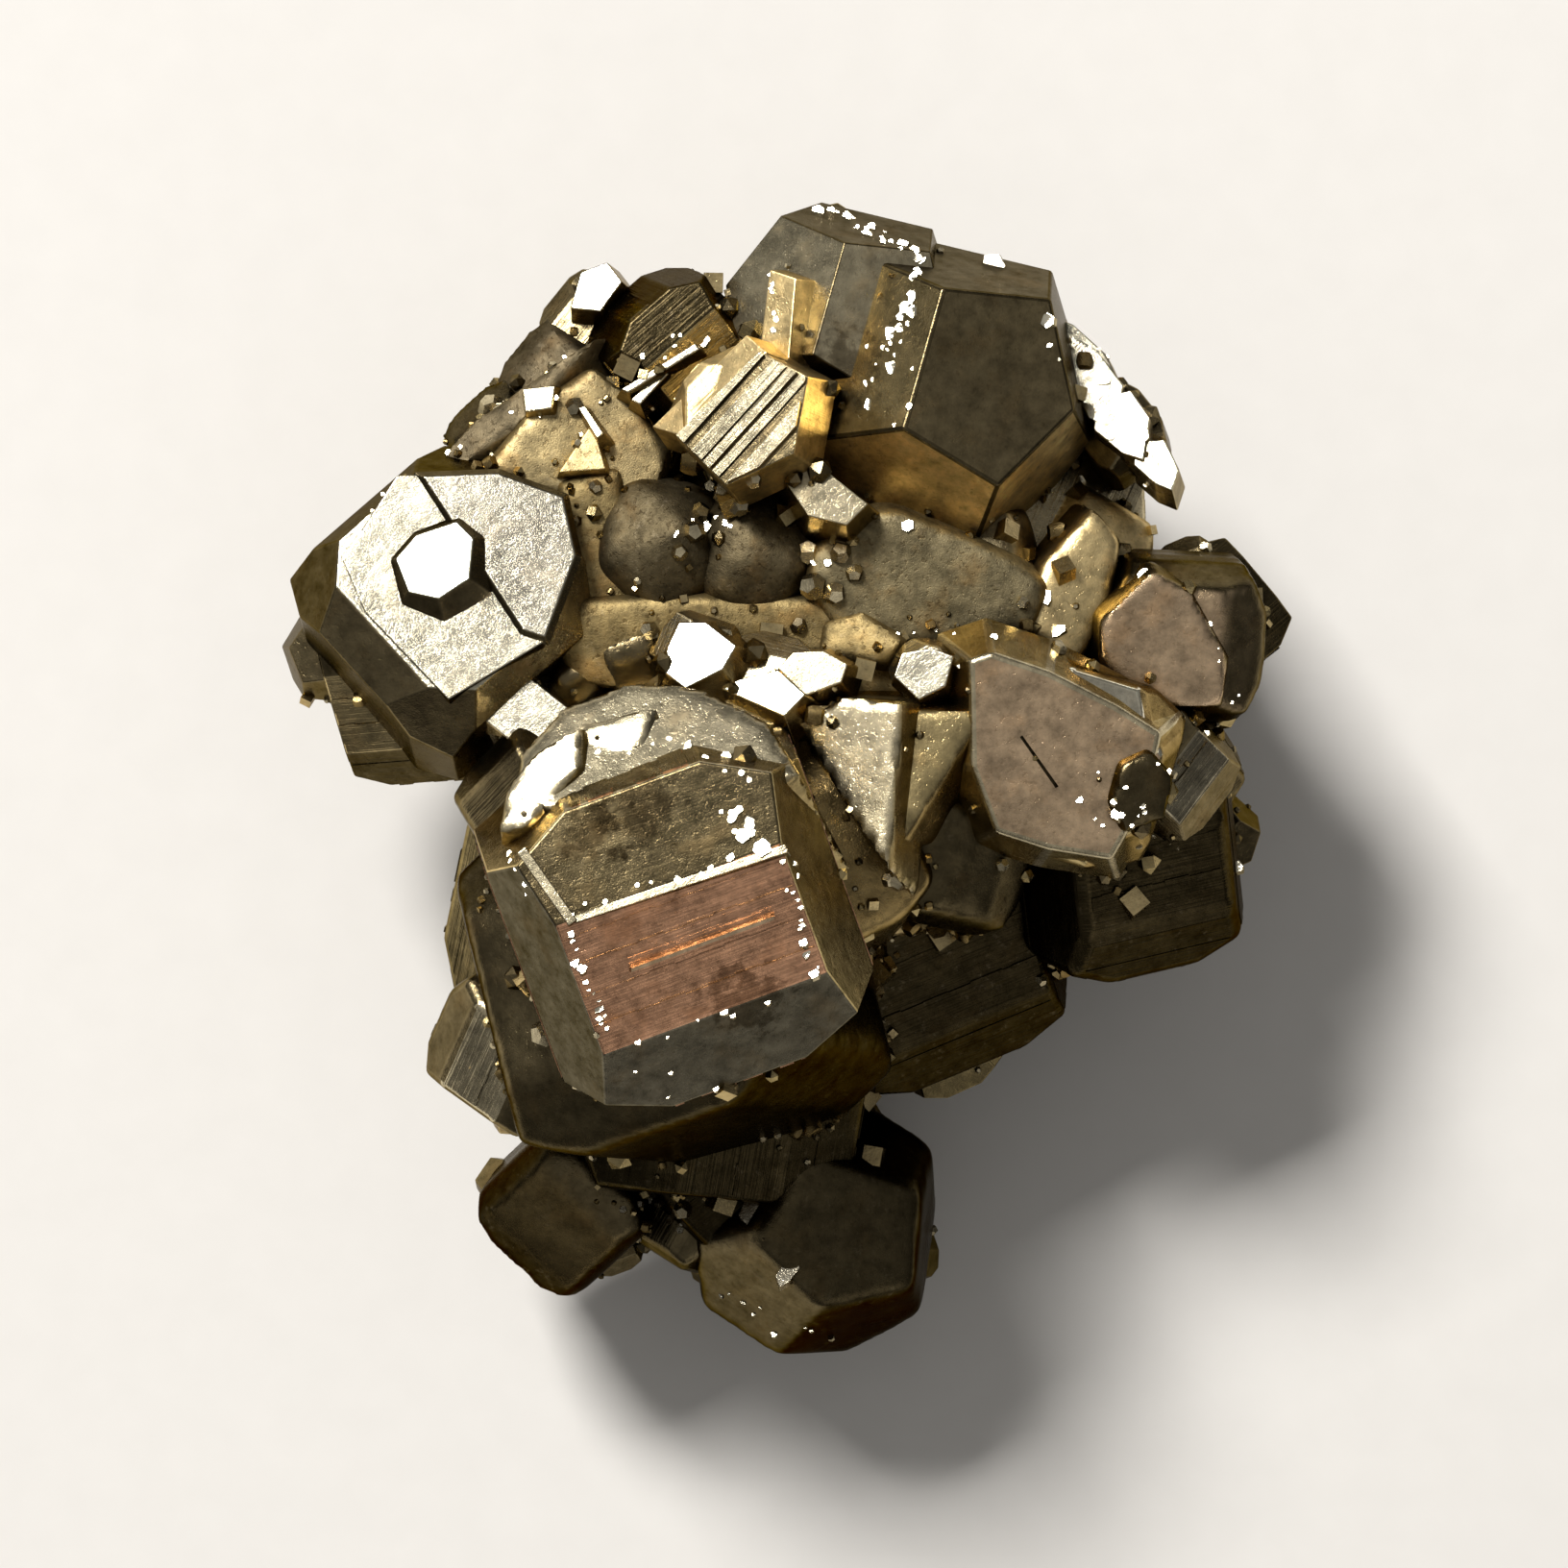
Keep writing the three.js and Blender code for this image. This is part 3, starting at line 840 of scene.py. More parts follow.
def make_crystal(facts, shelf):
    """The whole way from the rough block to a noted crystal."""
    axes = crystal_axes(facts["stripes"], facts["lean"], facts["towards"])
    faces = face_list(facts["cube"], facts["pyrite"], facts["octa"])
    normals = [world_direction(axes, face[2]) for face in faces]
    planes = [(facts["at"] + normal * face[3], normal) for face, normal in zip(faces, normals)]
    bevel = 0 if facts["soft"] else facts["bevel"]
    rough = ROUGH_BLOCK * max(face[3] for face in faces)
    piece = cut_block(facts["at"], rough, planes, bevel, facts["rounds"])
    lines = stripe_crystal(piece, facts, axes) if facts["gap"] else 0
    bpy.ops.object.mode_set(mode="OBJECT")
    looks = []
    for (kind, axis, _, _), normal in zip(faces, normals):
        colour, polish = tint_of(facts, normal, chance.uniform(*SHADES))
        striped = CUBE_LINES if kind == CUBE else PYRITE_LINES
        if kind == OCTA or not facts["gap"]:
            striped = NO_LINES
        if facts["plain"] and kind == PYRITE:
            striped = PLAIN_LINES
        looks.append((normal, axes[(axis + 2) % 3], colour, polish, striped))
    if facts["soft"]:
        soften(piece, facts["soft"])
        note_soft(piece, facts["at"], looks)
    else:
        note_faces(piece, facts["at"], looks, facts["edge"])
    piece.name = facts["name"].replace(" ", "_")
    put_away(piece, shelf)
    return lines


ruled = sum(make_crystal(facts, workshop) for facts in SHOWN + BODY + SEEDS)

# %% [markdown]
# Some faces in the photograph have outlines that no whole crystal gives: the many-sided mirror with its
# two terraces, the barred face, the chips between the big crystals, the long ridge on the left. Each of
# these is a thin slab. Its outline is a list of corners seen from above, its top is a plane that leans
# towards a compass direction, and it reaches far enough down to be rooted in the crystals below.

# %% The record of a slab


def slab(name, corners, height, lean, towards, depth=1.0, **looks):
    """One slab as a record: corners anticlockwise from above, and the height of the top at their middle.

    side is the tint of the sides, slope how far they spread downwards in degrees, stripes the compass
    direction of the stripes, and groove the tint of the strips between raised ones, a painted shade.
    """
    facts = {
        "name": name, "corners": corners, "height": height, "lean": lean, "towards": towards,
        "depth": depth, "tint": "mirror", "side": "brass", "stripes": 45, "gap": None, "rise": 0.03,
        "groove": None, "bevel": 0.04, "slope": 8, "soft": 0, "edge": None,
    }
    facts.update(looks)
    return facts


print("entries in a slab's record:", len(slab("sample", [], 0, 0, 0)))

# %% [markdown]
# The mirror is the largest bright face of the lump, and truly flat. A thin step runs round its far
# side, and a small plate lies on it that leans a little more, just enough to throw the softbox's light
# to the camera. The sides of the step and of the plate are tinted dark, a painted shade along their
# edges. Slabs that lie on the mirror take their height from its plane, so that they can't drift off it.

# %% The mirror and its terraces
MIRROR_X = -6.8
MIRROR_Y = 4.34
MIRROR_HEIGHT = 10.95
MIRROR_LEAN = 13
MIRROR_TOWARDS = 94


def on_mirror(name, corners, rise, **looks):
    """A slab that lies on the big mirror's plane."""
    spot = sum((Vector((x, y)) for x, y in corners), Vector((0, 0))) / len(corners)
    normal = compass(MIRROR_TOWARDS, MIRROR_LEAN)
    drop = (normal.x * (spot.x - MIRROR_X) + normal.y * (spot.y - MIRROR_Y)) / normal.z
    # painted shade: the sides of the steps on the mirror are tinted dark
    looks = {"tint": "silver", "side": "dark", "stripes": -48, "slope": 50, **looks}
    return slab(name, corners, MIRROR_HEIGHT - drop + rise, MIRROR_LEAN, MIRROR_TOWARDS, **looks)


SLABS = [
    on_mirror("mirror face", [
        (-9.38, 4.48), (-8.89, 3.36), (-7.14, 1.54), (-5.18, 2.73), (-4.48, 4.55), (-4.76, 5.81),
        (-6.16, 6.3), (-8.26, 6.23),
    ], 0.0, depth=1.6, slope=0),
    on_mirror("mirror high side", [
        (-5.6, 3.0), (-5.15, 2.85), (-4.53, 4.55), (-4.8, 5.76), (-6.16, 6.26), (-7.7, 6.2),
    ], 0.09, depth=0.13, tint="pewter"),
    # painted shade: the plate's sides are tinted dark
    slab("mirror plate", [
        (-8.26, 4.48), (-7.98, 3.78), (-7.35, 3.64), (-6.72, 4.06), (-6.65, 4.9), (-7.0, 5.25),
        (-7.84, 4.97),
    ], 11.14, 19, 112, 0.5, tint="mirror", side="dark", slope=48),
]
print("mirror slabs:", len(SLABS))

# %% [markdown]
# The barred face has a few bold stripes instead of many fine ones, so it is ruled wide and raised high,
# with its grooves tinted dark as painted shade. The chips in the valley are among the brightest spots of
# the lump. The two brightest lean 20 degrees towards the upper left, halfway between the softbox and the
# camera, which is where a mirror has to face to flash. The duller ones lean less.

# %% The barred face and the chips of the valley
SLABS += [
    # painted shade: the grooves between the raised bars take the dusk tint
    slab("bars face", [(-2.45, 7.0), (-1.4, 5.95), (0.0, 6.6), (0.3, 8.2), (-0.7, 8.75)],
         12.08, 17, 156, 1.5, tint="cream", stripes=46, gap=0.42, rise=0.12, side="gold", groove="dusk"),
    slab("bars flank", [(-2.95, 7.21), (-2.3, 7.0), (-0.56, 8.72), (-0.98, 9.1)],
         11.55, 36, 150, 1.2, tint="gold", side="gold"),
    slab("crown step", [(-0.4, 6.4), (0.3, 5.35), (1.1, 5.15), (1.55, 5.6), (0.8, 6.2), (0.1, 6.75)],
         11.4, 9, 98, 2.8, tint="cream"),
    slab("white facet", [
        (-2.66, 2.1), (-2.24, 1.78), (-1.47, 2.17), (-1.19, 2.66), (-1.82, 3.15), (-2.38, 3.15),
        (-2.62, 2.62),
    ], 11.75, 20, 121, slope=20),
    slab("white wedge", [(-1.5, 1.78), (-0.2, 1.2), (0.24, 1.65), (-0.32, 2.16), (-1.15, 1.96)],
         11.75, 20, 121, slope=15),
    slab("grey wedge", [(-0.32, 2.18), (0.24, 1.62), (0.99, 1.9), (1.12, 2.28), (0.62, 2.56), (-0.01, 2.53)],
         11.72, 13, 112, tint="cream", slope=15),
    slab("pale chip", [(-6.51, 1.19), (-5.67, 0.52), (-4.97, 0.77), (-4.62, 1.33), (-5.46, 1.99)],
         10.75, 11, 118, tint="silver"),
    slab("bright bead", [(2.07, 2.03), (2.59, 1.54), (3.15, 1.82), (3.32, 2.45), (2.87, 2.62), (2.24, 2.52)],
         11.45, 11, 118, 0.8, tint="silver"),
]
print("with bars and chips:", len(SLABS))

# %% [markdown]
# Behind the front crystal rises a worn brow with two brighter patches, and right of it the spearhead's
# left half. At the right end lie the broad scratched face with its bright rim, a dark pit and the rosy
# face. Most of these are worn, so they are smoothed a little after cutting.

# %% The brow, the spear and the right end
SLABS += [
    slab("brow", [
        (0.14, 0.0), (-0.56, 1.12), (-1.96, 1.82), (-3.36, 1.89), (-4.76, 1.4), (-5.6, 0.42), (-5.7, -0.5),
        (-4.06, -0.98), (-1.12, -0.56),
    ], 13.75, 32, 102, 3.5, tint="cream", side="olive", soft=6),
    slab("brow left", [
        (-6.02, -1.19), (-5.46, -1.12), (-4.34, 0.14), (-4.34, 0.98), (-5.25, 0.49), (-5.88, -0.28),
    ], 13.97, 21, 124, 1.4, tint="pale", side="olive", soft=2),
    slab("brow middle", [(-4.62, 0.0), (-3.08, 0.56), (-2.8, 1.4), (-4.34, 1.05)],
         13.56, 26, 113, 1.4, tint="cream", side="cream", soft=2),
    slab("spear left", [(1.2, -0.9), (1.95, -2.0), (2.25, 1.5), (1.0, 1.6), (0.1, 1.05)],
         11.95, 19, 165, 1.6, tint="pale", side="olive", soft=2),
    slab("scratched face", [
        (3.7, 0.14), (4.2, -1.19), (5.3, -1.54), (6.6, -1.75), (7.35, -0.4), (7.6, 0.84), (6.7, 1.4),
        (5.3, 2.1), (4.1, 2.5), (3.65, 2.35),
    ], 11.32, 9, -60, 1.3, tint="pink", side="olive", bevel=0.1, slope=25, edge="pale"),
    slab("scratched rim", [
        (3.85, 1.5), (4.4, 1.75), (6.2, 1.45), (6.7, 1.4), (5.3, 2.1), (4.1, 2.5), (3.65, 2.35),
    ], 11.15, 14, 62, 1.0, tint="mirror", side="olive", bevel=0.06, slope=20),
    slab("sparkling pit", [(6.9, -1.2), (7.7, -0.9), (7.9, -0.1), (7.4, 0.5), (6.8, 0.2), (6.6, -0.6)],
         11.35, 12, -30, 0.9, tint="dark", side="dark", soft=3),
    slab("rose face", [(6.4, 2.3), (7.3, 1.4), (8.96, 1.4), (9.1, 2.4), (8.3, 3.8), (7.5, 4.25), (6.4, 3.2)],
         10.05, 11, -60, 1.0, tint="pink", side="dusk", soft=5),
]
print("with the brow, the spear and the right end:", len(SLABS))

# %% [markdown]
# The hollows are filled with a worn, grainy mass in which no crystal can be told apart. Wide slabs that
# lie almost level, smoothed many times, give such a floor without any sharp edge. The ridge on the left
# is made the same way, but smoothed less.

# %% The worn fillings and the ridge
SLABS += [
    slab("valley south", [
        (-5.2, 3.0), (-4.5, 1.9), (-1.0, 1.4), (2.4, 1.6), (4.4, 2.3), (5.3, 3.1), (3.6, 3.6), (-2.2, 3.7),
        (-4.5, 3.6),
    ], 10.1, 7, -70, 3.0, tint="ochre", side="ochre", soft=14),
    slab("saddle", [
        (5.04, 3.08), (5.32, 3.92), (4.62, 4.48), (3.36, 5.04), (2.1, 5.53), (1.12, 5.32), (0.42, 4.62),
        (0.28, 3.92), (0.84, 3.08), (2.24, 2.66), (3.92, 2.66),
    ], 10.3, 7, -60, 2.4, tint="moss", side="ochre", soft=22),
    slab("golden heap", [(0.5, 2.5), (1.9, 2.3), (2.3, 2.8), (1.4, 3.4), (0.6, 3.2)],
         10.5, 12, 150, 1.6, tint="ochre", side="ochre", soft=8),
    slab("golden bank", [(4.9, 3.0), (5.9, 2.2), (6.6, 3.4), (6.9, 4.9), (6.3, 5.6), (5.2, 4.4)],
         9.6, 12, 20, 2.5, tint="amber", side="gold", soft=14),
    slab("valley west", [(-4.9, 6.1), (-4.6, 3.3), (-3.6, 2.6), (-3.3, 4.0), (-3.6, 6.4)],
         10.0, 6, -20, 3.0, tint="ochre", side="ochre", soft=20),
    slab("valley north", [
        (-6.4, 6.4), (-4.6, 5.6), (-2.9, 5.7), (-2.6, 6.8), (-3.4, 7.9), (-4.2, 8.5), (-5.4, 7.7),
    ], 9.75, 6, 20, 3.0, tint="honey", side="ochre", soft=8),
    slab("ridge", [
        (-7.9, 6.6), (-6.9, 6.5), (-5.6, 7.5), (-4.1, 9.3), (-4.3, 9.9), (-4.8, 9.8), (-6.02, 8.3),
        (-7.1, 7.15),
    ], 9.3, 30, 137, 2.2, tint="soot", side="stone", slope=14, soft=2),
]
print("with the fillings and the ridge:", len(SLABS))

# %% [markdown]
# Small single chips, strips and patches catch the eye here and there. The front crystal also has a thin
# bright line across its rosy face and two pale ledges along the upper edges. They are slabs a few
# tenths of a millimetre wide, because a painted line would lie flat where the real one stands up.

# %% Chips, strips and ledges
SLABS += [
    slab("ridge tip", [(-4.69, 9.8), (-4.06, 9.73), (-3.6, 10.36), (-3.92, 10.78), (-4.48, 10.57)],
         8.75, 20, 121),
    slab("golden fan", [(-4.9, 6.3), (-3.92, 6.37), (-4.2, 7.35)],
         10.15, 13, 112, 1.2, tint="honey", side="amber"),
    slab("golden streak", [(-4.1, 7.0), (-3.95, 7.1), (-4.35, 7.7), (-4.5, 7.65)],
         10.25, 16, 121, 0.8, tint="pale"),
    slab("crown strip", [(-0.7, 8.9), (-0.1, 8.6), (0.05, 10.3), (-0.5, 10.5)],
         10.9, 30, 165, 0.9, tint="gold", side="gold"),
    slab("pale patch", [(-5.6, 7.56), (-5.04, 7.63), (-4.97, 8.12), (-5.67, 8.05)],
         10.05, 14, 121, 0.8, tint="cream"),
    slab("rose line", [(-3.3, -4.02), (-0.4, -2.96), (-0.4, -2.88), (-3.3, -3.94)],
         15.0, 15, -66, 0.5, tint="pink", side="pink", stripes=20, bevel=0.0),
    slab("front top ledge", [(-4.42, -3.01), (-0.12, -1.58), (-0.18, -1.42), (-4.48, -2.85)],
         15.31, 13, 106, 0.3, tint="cream", side="cream", bevel=0.02),
    slab("front left ledge", [(-5.61, -1.6), (-4.56, -3.07), (-4.4, -2.95), (-5.45, -1.48)],
         15.26, 9, 121, 0.3, tint="cream", side="cream", bevel=0.02),
]
print("with chips, strips and ledges:", len(SLABS))

# %% [markdown]
# The ragged bright edge beside the crown is broken metal that flashes nearly everywhere. Four small
# facets that overlap, each leaning a little differently, give it the same broken flash. Two
# straw-coloured bars lie across the dark crystal left of the crown.

# %% The ragged edge and the bars
GLINT_DEPTH = 1.3


def glint(name, corners, height, lean, towards, tint):
    """A facet of the ragged edge: rooted deep, with steep pale sides."""
    return slab(name, corners, height, lean, towards, GLINT_DEPTH, tint=tint, side="pale", slope=2)


SLABS += [
    glint("crown side glint", [
        (5.45, 9.55), (5.67, 8.6), (6.2, 7.5), (6.75, 7.3), (6.95, 8.2), (6.4, 8.95),
    ], 8.3, 14, 112, "mirror"),
    glint("crown low glint", [
        (6.35, 7.9), (6.3, 7.25), (6.9, 6.75), (7.35, 6.6), (7.5, 7.5), (7.1, 8.1),
    ], 8.62, 19, 119, "silver"),
    glint("crown top glint", [
        (5.3, 9.75), (5.45, 9.3), (6.3, 8.6), (6.9, 8.2), (6.6, 8.85), (5.9, 9.5),
    ], 8.1, 12, 124, "silver"),
    glint("crown foot glint", [
        (7.2, 7.0), (7.15, 6.5), (7.6, 6.1), (7.95, 5.95), (8.1, 6.4), (7.8, 7.05),
    ], 8.85, 16, 113, "mirror"),
    slab("dusk bar", [(-3.6, 8.02), (-3.45, 7.94), (-1.95, 8.85), (-2.05, 8.98)],
         10.45, 12, 121, 0.8, tint="straw"),
    slab("dusk short bar", [(-3.4, 7.8), (-3.2, 7.7), (-2.6, 8.35), (-2.75, 8.5)],
         10.3, 13, 121, 0.8, tint="straw"),
]
print("all slabs:", len(SLABS))

# %% [markdown]
# A slab is cut from a block just as a crystal is: by its top, its bottom, and one plane through each
# side of its outline. A plane gives a cleaner face than an extruded outline would, and the sides can
# lean.

# %% Cut the slabs
SLAB_BLOCK = 12.0
# strips between raised ones are this narrow, and lie between these shares of the rise
GROOVE_WIDTH = 0.4
GROOVE_LOW = -0.2
GROOVE_HIGH = 0.5
# how strongly the fine lines show on a smooth top and on the sides
TOP_LINES = 0.08
SIDE_LINES = 0.3


# painted shade: the grooves and their small walls are tinted darker
def paint_groove_shade(piece, middle, normal, facts):
    """Give the strips that were not raised, and the small walls beside them, the groove's tint."""
    colour, _ = TINTS[facts["groove"]]
    notes = piece.data.color_attributes["tint"].data
    for polygon in piece.data.polygons:
        rise = (polygon.center - middle).dot(normal)
        if GROOVE_LOW * facts["rise"] < rise < GROOVE_HIGH * facts["rise"]:
            for corner in polygon.loop_indices:
                notes[corner].color = (*colour, 1.0)


def make_slab(facts, shelf):
    """Cut a slab out of a block by its top, its bottom and one plane for each side."""
    normal = compass(facts["towards"], facts["lean"])
    count = len(facts["corners"])
    middle = Vector((
        sum(x for x, _ in facts["corners"]) / count,
        sum(y for _, y in facts["corners"]) / count,
        facts["height"],
    ))
    tops = []
    for x, y in facts["corners"]:
        drop = (normal.x * (x - middle.x) + normal.y * (y - middle.y)) / normal.z
        tops.append(Vector((x, y, middle.z - drop)))
    slope = math.radians(facts["slope"])
    sides = []
    for i in range(count):
        outwards = (tops[(i + 1) % count] - tops[i]).cross(normal).normalized()
        sides.append(outwards * math.cos(slope) + normal * math.sin(slope))
    planes = [(middle, normal), (middle - normal * facts["depth"], -normal), *zip(tops, sides)]
    piece = cut_block(middle, SLAB_BLOCK, planes, 0 if facts["soft"] else facts["bevel"])
    level = compass(facts["stripes"], 90)
    along = (level - normal * level.dot(normal)).normalized()
    lines = 0
    if facts["gap"]:
        across = normal.cross(along)
        lines = rule_stripes(piece, middle, normal, across, facts["gap"], facts["rise"], GROOVE_WIDTH)
    bpy.ops.object.mode_set(mode="OBJECT")
    top_colour, top_polish = TINTS[facts["tint"]]
    side_colour, side_polish = TINTS[facts["side"]]
    striped = CUBE_LINES if facts["gap"] else TOP_LINES
    looks = [
        (normal, along, top_colour, top_polish, striped),
        (-normal, along, side_colour, side_polish, NO_LINES),
    ]
    looks += [(side, normal, side_colour, side_polish, SIDE_LINES) for side in sides]
    if facts["soft"]:
        soften(piece, facts["soft"])
        note_soft(piece, middle, looks)
    else:
        note_faces(piece, middle, looks, facts["edge"])
    # painted shade in the grooves
    if facts["groove"]:
        paint_groove_shade(piece, middle, normal, facts)
    piece.name = facts["name"].replace(" ", "_") + "_slab"
    put_away(piece, shelf)
    return lines


slab_lines = sum(make_slab(facts, workshop) for facts in SLABS)
print("slabs:", len(SLABS), "with ruled lines:", slab_lines)

# %% [markdown]
# Now all of them become one closed skin. The Boolean's Manifold solver takes a whole collection at
# once, needs closed meshes and gives one back, and it is quick enough for hundreds of crystals. What
# reaches below the floor is then cut off in the same way with a large block, which leaves the small
# flat spot that the lump rests on.

# %% Join into one skin
GROUND_SIZE = 60.0


def take_out(name):
    """One piece out of the workshop, back in the scene's own list and active."""
    piece = workshop.objects[name]
    put_away(piece, scene.collection)
    bpy.context.view_layer.objects.active = piece
    return piece


def boolean(piece, operation, other=None, shelf=None):
    """Join or cut with the Manifold solver, apply, and clear away what was used up."""
    step = piece.modifiers.new("boolean", "BOOLEAN")
    step.solver = "MANIFOLD"
    step.operation = operation
    if shelf:
        step.operand_type = "COLLECTION"
        step.collection = shelf
    else:
        step.object = other
    deselect_all()
    bpy.context.view_layer.objects.active = piece
    piece.select_set(True)
    bpy.ops.object.modifier_apply(modifier=step.name)
    used = list(shelf.objects) if shelf else [other]
    for thing in used:
        mesh = thing.data
        bpy.data.objects.remove(thing)
        bpy.data.meshes.remove(mesh)


def triangle_count(mesh):
    """Triangles that a mesh makes when every face is split."""
    return sum(len(polygon.vertices) - 2 for polygon in mesh.polygons)


cluster = take_out("middle")
boolean(cluster, "UNION", shelf=workshop)
deselect_all()
bpy.ops.mesh.primitive_cube_add(size=GROUND_SIZE, location=(0, 0, -GROUND_SIZE / 2))
ground = bpy.context.object
bpy.ops.object.transform_apply(location=True, rotation=True, scale=True)
boolean(cluster, "DIFFERENCE", other=ground)
print("joined skin:", triangle_count(cluster.data), "triangles")

# %% [markdown]
# One face near the right end carries a single dark scratch. It is cut and not drawn in the material, so
# that its shadow is right from every side. A thin blade is cut like a slab and taken out of the skin
# with the same Boolean, set to Difference. The walls of the cut keep the blade's dark tint, a painted
# shade inside the scratch.

# %% The scratch
# painted shade: the blade's dark tint stays on the walls of the scratch
blade = slab("blade", [(4.74, 0.8), (4.69, 0.76), (5.44, -0.3), (5.5, -0.26)],
             11.4, 9, -60, 0.3, tint="dark", side="dark", bevel=0.0, slope=0)
make_slab(blade, workshop)
boolean(cluster, "DIFFERENCE", other=take_out("blade_slab"))
print("with the scratch:", triangle_count(cluster.data), "triangles")

# %% [markdown]
# The photograph sparkles along the edges of the front crystal and down the crown's stepped ridge. Each
# sparkle is a tiny flake that happens to face halfway between the softbox and the eye. They lie on
# strings: each string has two ends, a stray, and how many flakes of which size it holds. Their places
# are measured in the photograph.

# %% Where the sparkles are
# each string of sparkles: from x, y to x, y, how far they stray, how many, smallest and largest half length
SPARKLE_STRINGS = [
    (-4.7, -2.8, -1.2, -1.7, 0.08, 11, 0.04, 0.13),
    (-1.5, -0.75, -0.7, -1.5, 0.16, 9, 0.06, 0.2),
    (-0.2, -1.7, 0.4, -4.1, 0.07, 15, 0.05, 0.15),
    (-4.6, -3.2, -3.8, -5.3, 0.06, 16, 0.05, 0.14),
    (-3.6, -5.6, -0.2, -4.5, 0.1, 6, 0.04, 0.12),
    (-3.4, -6.1, -1.6, -6.6, 0.2, 4, 0.06, 0.14),
    (-4.9, 0.4, -2.2, 0.7, 0.07, 6, 0.04, 0.1),
    (-2.2, 0.6, -0.5, -0.2, 0.09, 6, 0.04, 0.12),
    (-6.0, -1.3, -5.3, -2.6, 0.08, 5, 0.04, 0.1),
    (-2.2, -11.1, 0.9, -12.0, 0.15, 10, 0.04, 0.1),
    (5.6, 9.4, 8.0, 6.2, 0.25, 22, 0.06, 0.2),
    (0.6, 12.0, 2.5, 10.8, 0.08, 20, 0.06, 0.17),
    (2.6, 10.8, 2.4, 9.5, 0.07, 12, 0.06, 0.17),
    (2.4, 9.6, 1.9, 8.6, 0.12, 9, 0.06, 0.22),
    (2.1, 9.0, 1.5, 7.4, 0.3, 13, 0.05, 0.19),
    (-0.45, 10.6, -0.42, 9.2, 0.03, 7, 0.05, 0.1),
    (6.4, -0.6, 7.9, -1.2, 0.35, 16, 0.04, 0.16),
    (6.6, -0.3, 8.6, 0.9, 0.2, 7, 0.04, 0.12),
    (-2.5, 4.9, -1.1, 5.6, 0.22, 14, 0.05, 0.15),
    (0.2, 3.9, 1.0, 4.7, 0.2, 7, 0.06, 0.18),
    (-3.4, -8.9, -2.2, -10.0, 0.25, 7, 0.05, 0.14),
    (2.2, 2.9, 4.2, 2.7, 0.2, 6, 0.05, 0.12),
    (8.6, 3.2, 9.2, 1.4, 0.12, 5, 0.04, 0.1),
    (-7.4, 6.4, -4.6, 8.6, 0.2, 9, 0.05, 0.13),
    (-9.4, 4.6, -8.2, 6.3, 0.06, 6, 0.04, 0.1),
    (-3.3, 8.7, -1.5, 9.3, 0.1, 7, 0.05, 0.12),
]
# x, y and half length of the larger ones that lie alone
SINGLE_SPARKLES = [
    (4.2, 10.71, 0.26), (6.09, 6.23, 0.13), (2.38, 5.18, 0.14), (5.25, 3.71, 0.17), (5.53, 3.01, 0.17),
    (-0.65, -1.5, 0.18), (-0.14, -10.57, 0.34), (-0.91, -9.31, 0.3), (9.38, -1.96, 0.13), (7.28, 4.2, 0.14),
    (-0.9, -1.0, 0.16), (-2.17, 0.55, 0.14), (9.3, 0.49, 0.14),
]
print("strings of sparkles:", len(SPARKLE_STRINGS), "and single ones:", len(SINGLE_SPARKLES))

# %% [markdown]
# One flake is cut and copied to each place, each copy with its own mesh, and dropped on the skin from
# straight above. A ray finds where it lands. That is how crumbs and flakes come to lie on faces that
# lean, with no height to work out by hand.

# %% Drop the sparkles
RAY_HEIGHT = 25
STRAIGHT_DOWN = Vector((0, 0, -1))
ANY_TURN = (0, 6.28)
SPARKLE_LEAN = 20
SPARKLE_TOWARDS = 121
LEAN_STRAY = (-7, 5)
TOWARDS_STRAY = (-12, 12)
# a flake's width as a share of its length, and how far it stands up as a share of its width
FLAKE_WIDTHS = (0.45, 0.95)
FLAKE_LIFT = 0.35
# the flakes on the strings are made a little smaller than the list says
SMALL_SHARE = 0.8
LARGE_SHARE = 0.85

flake = slab("flake", [(-1, -0.5), (-0.4, -1), (0.7, -1), (1, 0.2), (0.5, 1), (-0.6, 0.9)],
             0, 0, 0, 1.5, side="pale", bevel=0.0)
make_slab(flake, workshop)
flake_mesh = take_out("flake_slab").data


def skin_tree(piece):
    """A search tree over a mesh, to shoot rays at."""
    net = bmesh.new()
    net.from_mesh(piece.data)
    tree = BVHTree.FromBMesh(net)
    net.free()
    return tree


def land(x, y):
    """Where something dropped from high above x, y lands on the skin, and the skin's normal there."""
    spot, normal, _, _ = tree.ray_cast(Vector((x, y, RAY_HEIGHT)), STRAIGHT_DOWN)
    return spot, normal


def place_flake(x, y, half_length):
    """A copy of the flake, dropped on the skin and tipped to face between softbox and eye."""
    spot, _ = land(x, y)
    if not spot:
        return 0
    mesh = flake_mesh.copy()
    towards = SPARKLE_TOWARDS + chance.uniform(*TOWARDS_STRAY)
    facing = compass(towards, SPARKLE_LEAN + chance.uniform(*LEAN_STRAY))
    tip = Vector((0, 0, 1)).rotation_difference(facing).to_matrix().to_4x4()
    half_width = half_length * chance.uniform(*FLAKE_WIDTHS)
    mesh.transform(
        Matrix.Translation(spot + Vector((0, 0, FLAKE_LIFT * half_width))) @ tip
        @ Matrix.Rotation(chance.uniform(*ANY_TURN), 4, "Z")
        @ Matrix.Diagonal((half_length, half_width, half_width, 1))
    )
    workshop.objects.link(bpy.data.objects.new("flake", mesh))
    return 1


